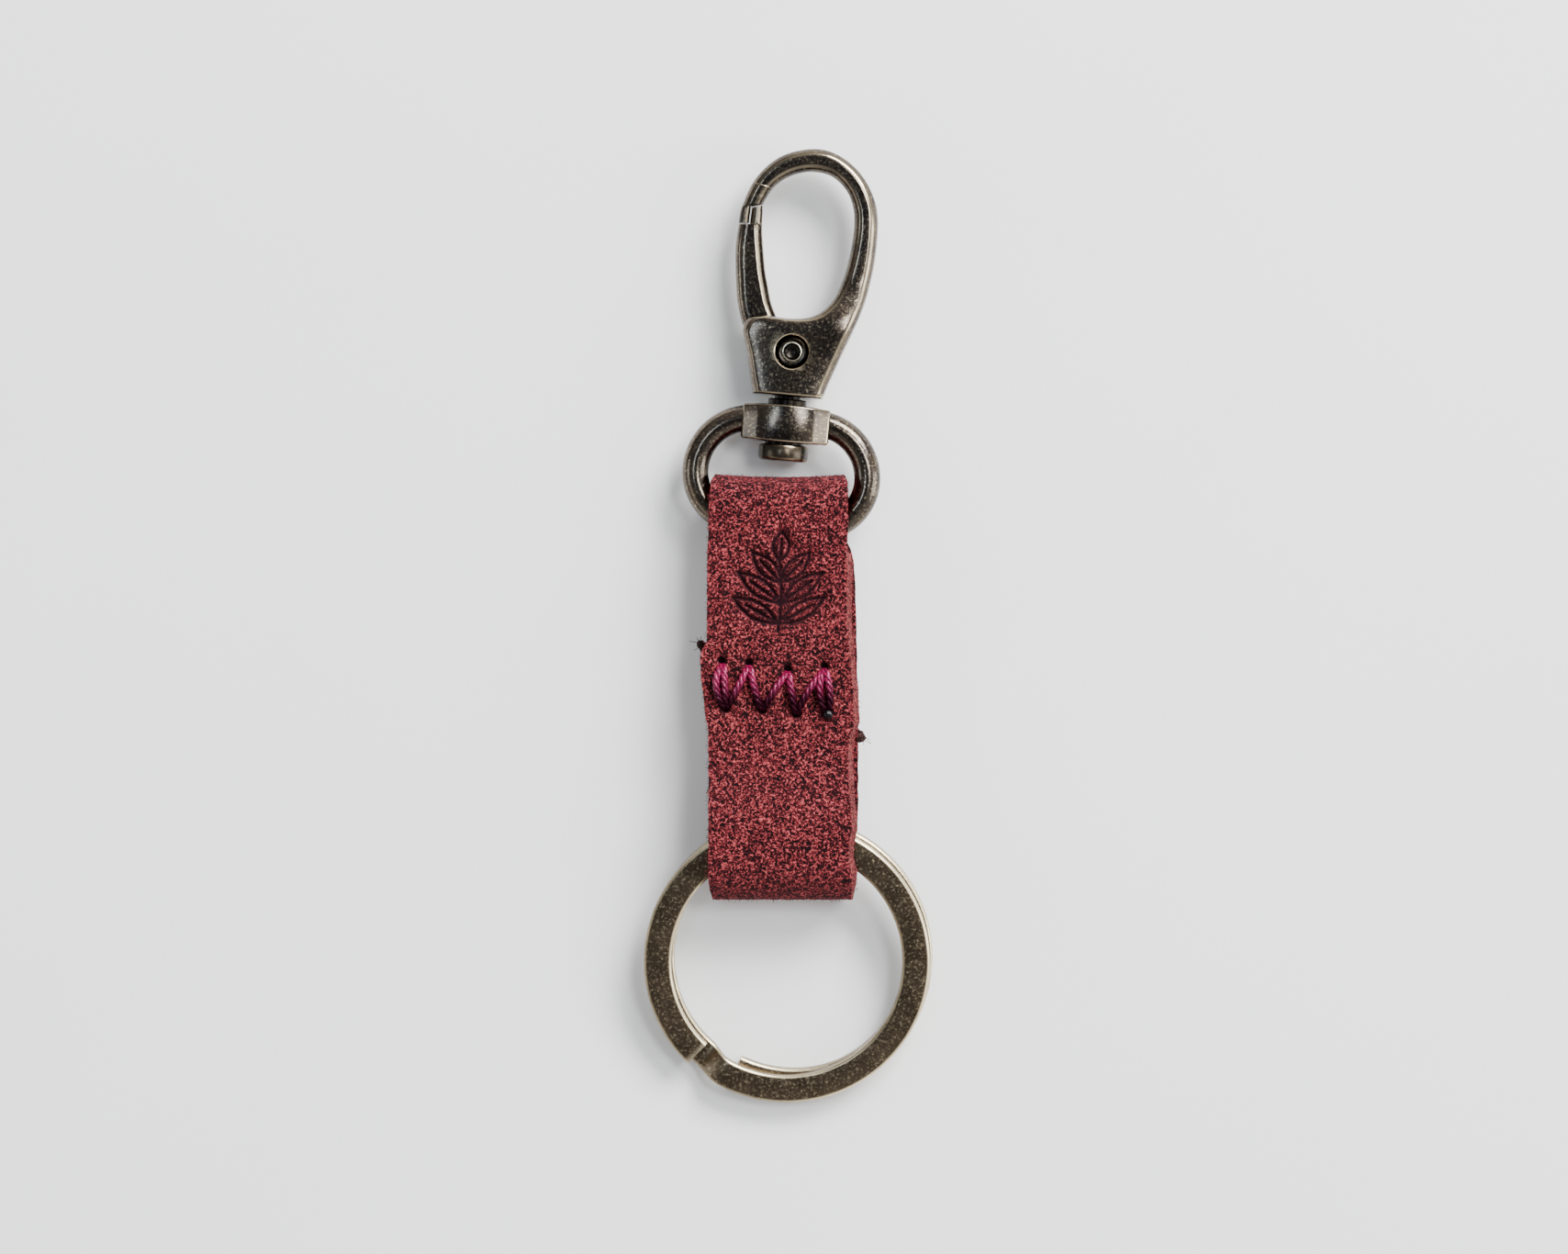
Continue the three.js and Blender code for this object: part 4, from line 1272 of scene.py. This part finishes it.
FRONT_STITCHES = [
    # from, pulled towards, to
    ((-6.95, -4.2), (-8.0, -6.3), (-6.5, -8.5)),
    ((-6.62, -4.2), (-6.5, -6.1), (-6.3, -8.45)),
    ((-6.2, -8.5), (-5.08, -6.5), (-4.15, -4.35)),
    ((-3.85, -4.35), (-3.43, -6.9), (-2.62, -8.65)),
    ((-2.45, -8.65), (-1.5, -6.9), (-0.12, -5.0)),
    ((0.2, -5.0), (0.5, -7.4), (0.92, -9.05)),
    ((1.08, -9.1), (1.72, -7.3), (3.7, -4.75)),
    ((3.75, -4.7), (2.96, -7.1), (4.05, -8.95)),
    ((4.0, -4.7), (4.75, -6.8), (4.4, -8.95)),
]


def stitch_path(start, pull, end, level, sink):
    """A stitch in plan is a gentle curve. In side view it rises steeply, runs level and dives."""
    a, b, c = Vector(start), Vector(pull), Vector(end)
    path = []
    for i in range(STITCH_STEPS + 1):
        t = i / STITCH_STEPS
        flat = a * (1 - t) ** 2 + b * 2 * t * (1 - t) + c * t * t
        arch = math.sqrt(max(0.0, 1 - abs(2 * t - 1) ** 2.8))
        path.append(Vector((*flat, level - sink * (1 - arch))))
    return path


def twist(path, strands=3):
    """The strands that wind round a path."""
    paths = [[] for _ in range(strands)]
    travelled = 0.0
    for i, spot in enumerate(path):
        ahead = (path[min(i + 1, len(path) - 1)] - path[max(i - 1, 0)]).normalized()
        side = ahead.cross(Vector((0.3, 0.1, 1))).normalized()
        up = side.cross(ahead)
        if i:
            travelled += (spot - path[i - 1]).length
        for k in range(strands):
            angle = 2 * math.pi * (travelled / TWIST_LENGTH + k / strands)
            paths[k].append(spot + (side * math.cos(angle) + up * math.sin(angle)) * STRAND_OFFSET)
    return paths


def straight_path(points, spacing=0.15):
    path = []
    for a, b in zip(points, points[1:]):
        a, b = Vector(a), Vector(b)
        count = max(2, round((b - a).length / spacing))
        path += [a.lerp(b, i / count) for i in range(count)]
    return path + [Vector(points[-1])]


def sewing():
    strands = []
    for start, pull, end in FRONT_STITCHES:
        strands += twist(stitch_path(start, pull, end, THREAD_TOP, FRONT_SINK))
    for (x0, y0), (x1, y1) in zip(THREAD_HOLES, THREAD_HOLES[1:]):
        middle = ((x0 + x1) / 2, (y0 + y1) / 2)
        strands += twist(stitch_path((x0, y0), middle, (x1, y1), THREAD_UNDER, BACK_SINK))
    return strands


thread = draw_threads("zigzag_thread", sewing(), STRAND_RADIUS, 1)
# painted shade: the thread darkens towards the bottom of the strap
mark_points(thread, "painted_shade", [0.96 * blend_in(-v.co.y, 5.0, 7.9) for v in thread.data.vertices])
settle(thread, strap_place, 70)
finish_piece(thread, "strap", "thread", wine_thread, "stitch_thread")

# %% [markdown]
# The two tails come round the edges of the strap and end in small knots with a few loose hairs. The
# bead below the last stitch is thread too, melted to stop it running. All three start as spheres,
# which are then wrapped or pushed out of round.

# %% Tails, knots and bead
LEFT_KNOT = Vector((-8.98, -1.95, 4.6))
RIGHT_KNOT = Vector((7.75, -11.7, 4.6))
BEAD = Vector((4.3, -9.25, 8.05))


def lump(name, centre, radius, squash, rough):
    ball = add(name, bpy.ops.mesh.primitive_ico_sphere_add, subdivisions=4, radius=radius, location=centre)
    edit_all()
    bpy.ops.transform.resize(value=squash, center_override=tuple(centre))
    leave_edit()
    hold_place(ball)
    for vert in ball.data.vertices:
        out = (vert.co - centre).normalized()
        vert.co += out * rough * radius * noise.noise(vert.co * 1.3 / radius)
    return ball


def tail_paths():
    """The strands of the two tails, and the loose hairs at their knots."""
    dice = random.Random(11)
    first, last = THREAD_HOLES[0], THREAD_HOLES[-1]
    routes = [
        [(*first, THREAD_UNDER), (-8.7, -2.8, THREAD_UNDER), (-8.75, -2.6, 4.0), tuple(LEFT_KNOT)],
        [(*last, THREAD_UNDER), (7.72, -11.2, THREAD_UNDER), (7.8, -11.4, 4.0), tuple(RIGHT_KNOT)],
    ]
    strands, hairs = [], []
    for route in routes:
        strands += twist(straight_path(route), 2)
    for knot, lean, count in ((LEFT_KNOT, -1, 7), (RIGHT_KNOT, 1, 4)):
        for _ in range(count):
            out = Vector((lean * dice.uniform(0.2, 1), dice.uniform(-0.7, 1), dice.uniform(-0.3, 0.5)))
            out.normalize()
            curl = Vector((dice.uniform(-1, 1), dice.uniform(-1, 1), dice.uniform(-0.4, 0.4)))
            length = dice.uniform(0.7, 1.25)
            hairs.append([knot + out * length * t + curl * 0.45 * t * t for t in (i / 6 for i in range(7))])
    return strands, hairs


def wrap_paths(centre, radius, turns=3):
    """A thread wound round a knot in two directions."""
    paths = []
    for axis in (Vector((0.3, 0.2, 1)), Vector((1, -0.4, 0.2))):
        axis.normalize()
        side = axis.orthogonal().normalized()
        path = []
        for i in range(60):
            angle = 2 * math.pi * turns * i / 60
            height = (i / 59 - 0.5) * 1.5
            wide = math.sqrt(max(0.05, 1 - height * height))
            spoke = Matrix.Rotation(angle, 3, axis) @ side
            path.append(centre + (spoke * wide + axis * height) * radius)
        paths.append(path)
    return paths


left_knot = lump("left_knot", LEFT_KNOT, 0.42, (1.0, 1.1, 0.9), 0.5)
right_knot = lump("right_knot", RIGHT_KNOT, 0.46, (1.15, 0.95, 0.9), 0.6)
knot_wraps = draw_threads("knot_wraps", wrap_paths(LEFT_KNOT, 0.4) + wrap_paths(RIGHT_KNOT, 0.42), 0.09, 1)
tail_strands, hairs = tail_paths()
tails = draw_threads("thread_tails", tail_strands, 0.15, 1)
tail_hairs = draw_threads("tail_hairs", hairs, 0.03)
bead = lump("melted_bead", BEAD, 0.5, (1.0, 1.05, 0.8), 0.12)
for piece in (left_knot, right_knot, knot_wraps, tails, tail_hairs, bead):
    settle(piece, strap_place, 80)
    finish_piece(piece, "strap", "thread", melted_thread if piece is bead else tail_thread)

# %% [markdown]
# ## Floor
# The fob lies on a plain pale floor with a very faint drift of tone.

# %% Floor
floor = add("floor", bpy.ops.mesh.primitive_plane_add, size=4)
floor_material, tree, shader = start_material("pale_floor")
pale = ramp(tree, grain(tree, 30, 4), (0.3, (0.935, 0.92, 0.895)), (0.7, (0.955, 0.94, 0.92)))
tree.links.new(pale, shader.inputs["Base Color"])
shader.inputs["Roughness"].default_value = 0.9
floor.data.materials.append(floor_material)

# %% [markdown]
# ## Light
# Dark polished metal shows whatever is round it, so the light matters as much as the finish. The sky
# straight above is dim, which keeps the flat faces dark, and soft panels low at the sides light up every
# bevel. The main one is at the top right. Two panes high up draw the long streaks along the hook's limb.

# %% Light
def panel(name, spot, size, power, color=(1, 1, 1)):
    bpy.ops.object.light_add(type="AREA", location=spot)
    light = bpy.context.object
    light.name = name
    light.data.shape = "RECTANGLE"
    light.data.size, light.data.size_y = size
    light.data.energy = power
    light.data.color = color
    light.rotation_euler = (-Vector(spot)).to_track_quat("-Z", "Y").to_euler()
    return light


panel("window_light", (0.42, 0.55, 0.55), (0.5, 0.35), 19.5, (0.96, 0.98, 1.0))
panel("side_light", (0.75, -0.05, 0.28), (0.3, 0.5), 3.2, (0.95, 0.98, 1.0))
panel("left_card", (-0.72, 0.03, 0.33), (0.3, 0.25), 0.8, (0.80, 0.90, 1.0))
panel("fill_light", (-0.65, -0.35, 0.35), (0.5, 0.4), 0.8, (1.0, 0.97, 0.93))
panel("left_pane", (-0.25, 0.15, 1.0), (0.28, 0.09), 1.1, (0.66, 0.83, 1.0))
panel("right_pane", (0.36, 0.2, 1.0), (0.28, 0.22), 4.6, (0.93, 0.97, 1.0))

world = bpy.data.worlds.new("soft_room")
bpy.context.scene.world = world
world.use_nodes = True
sky = world.node_tree
background = next(n for n in sky.nodes if n.type == "BACKGROUND")
direction = make_node(sky, "ShaderNodeTexCoord")
split = make_node(sky, "ShaderNodeSeparateXYZ")
sky.links.new(direction.outputs["Generated"], split.inputs["Vector"])
upwards = ramp(
    sky, split.outputs["Z"],
    (0.0, (0.80, 0.79, 0.77)), (0.55, (0.76, 0.76, 0.76)), (0.84, (0.45, 0.45, 0.46)),
    (0.97, (0.07, 0.07, 0.08)),
)
from_left = math_node(sky, "MULTIPLY", math_node(sky, "ADD", split.outputs["X"], 1.0), 0.5)
sideways = ramp(
    sky, from_left, (0.05, (0.22, 0.215, 0.21)), (0.5, (0.85, 0.85, 0.85)), (0.75, (1.0, 1.0, 1.0))
)
sky.links.new(mix_color(sky, 1.0, upwards, sideways, "MULTIPLY"), background.inputs["Color"])
background.inputs["Strength"].default_value = 1.55

# %% [markdown]
# ## Camera
# The camera looks straight down from well above, with a long lens, so that nothing leans outwards.

# %% Camera
CAMERA_HEIGHT = 0.75
VIEW_WIDTH = 0.1642
bpy.ops.object.camera_add(location=(-0.0003, -0.0001, CAMERA_HEIGHT), rotation=(0, 0, 0))
camera = bpy.context.object
camera.data.sensor_width = 36
camera.data.lens = 36 * (CAMERA_HEIGHT - 0.005) / VIEW_WIDTH
camera.data.clip_start = 0.01
bpy.context.scene.camera = camera
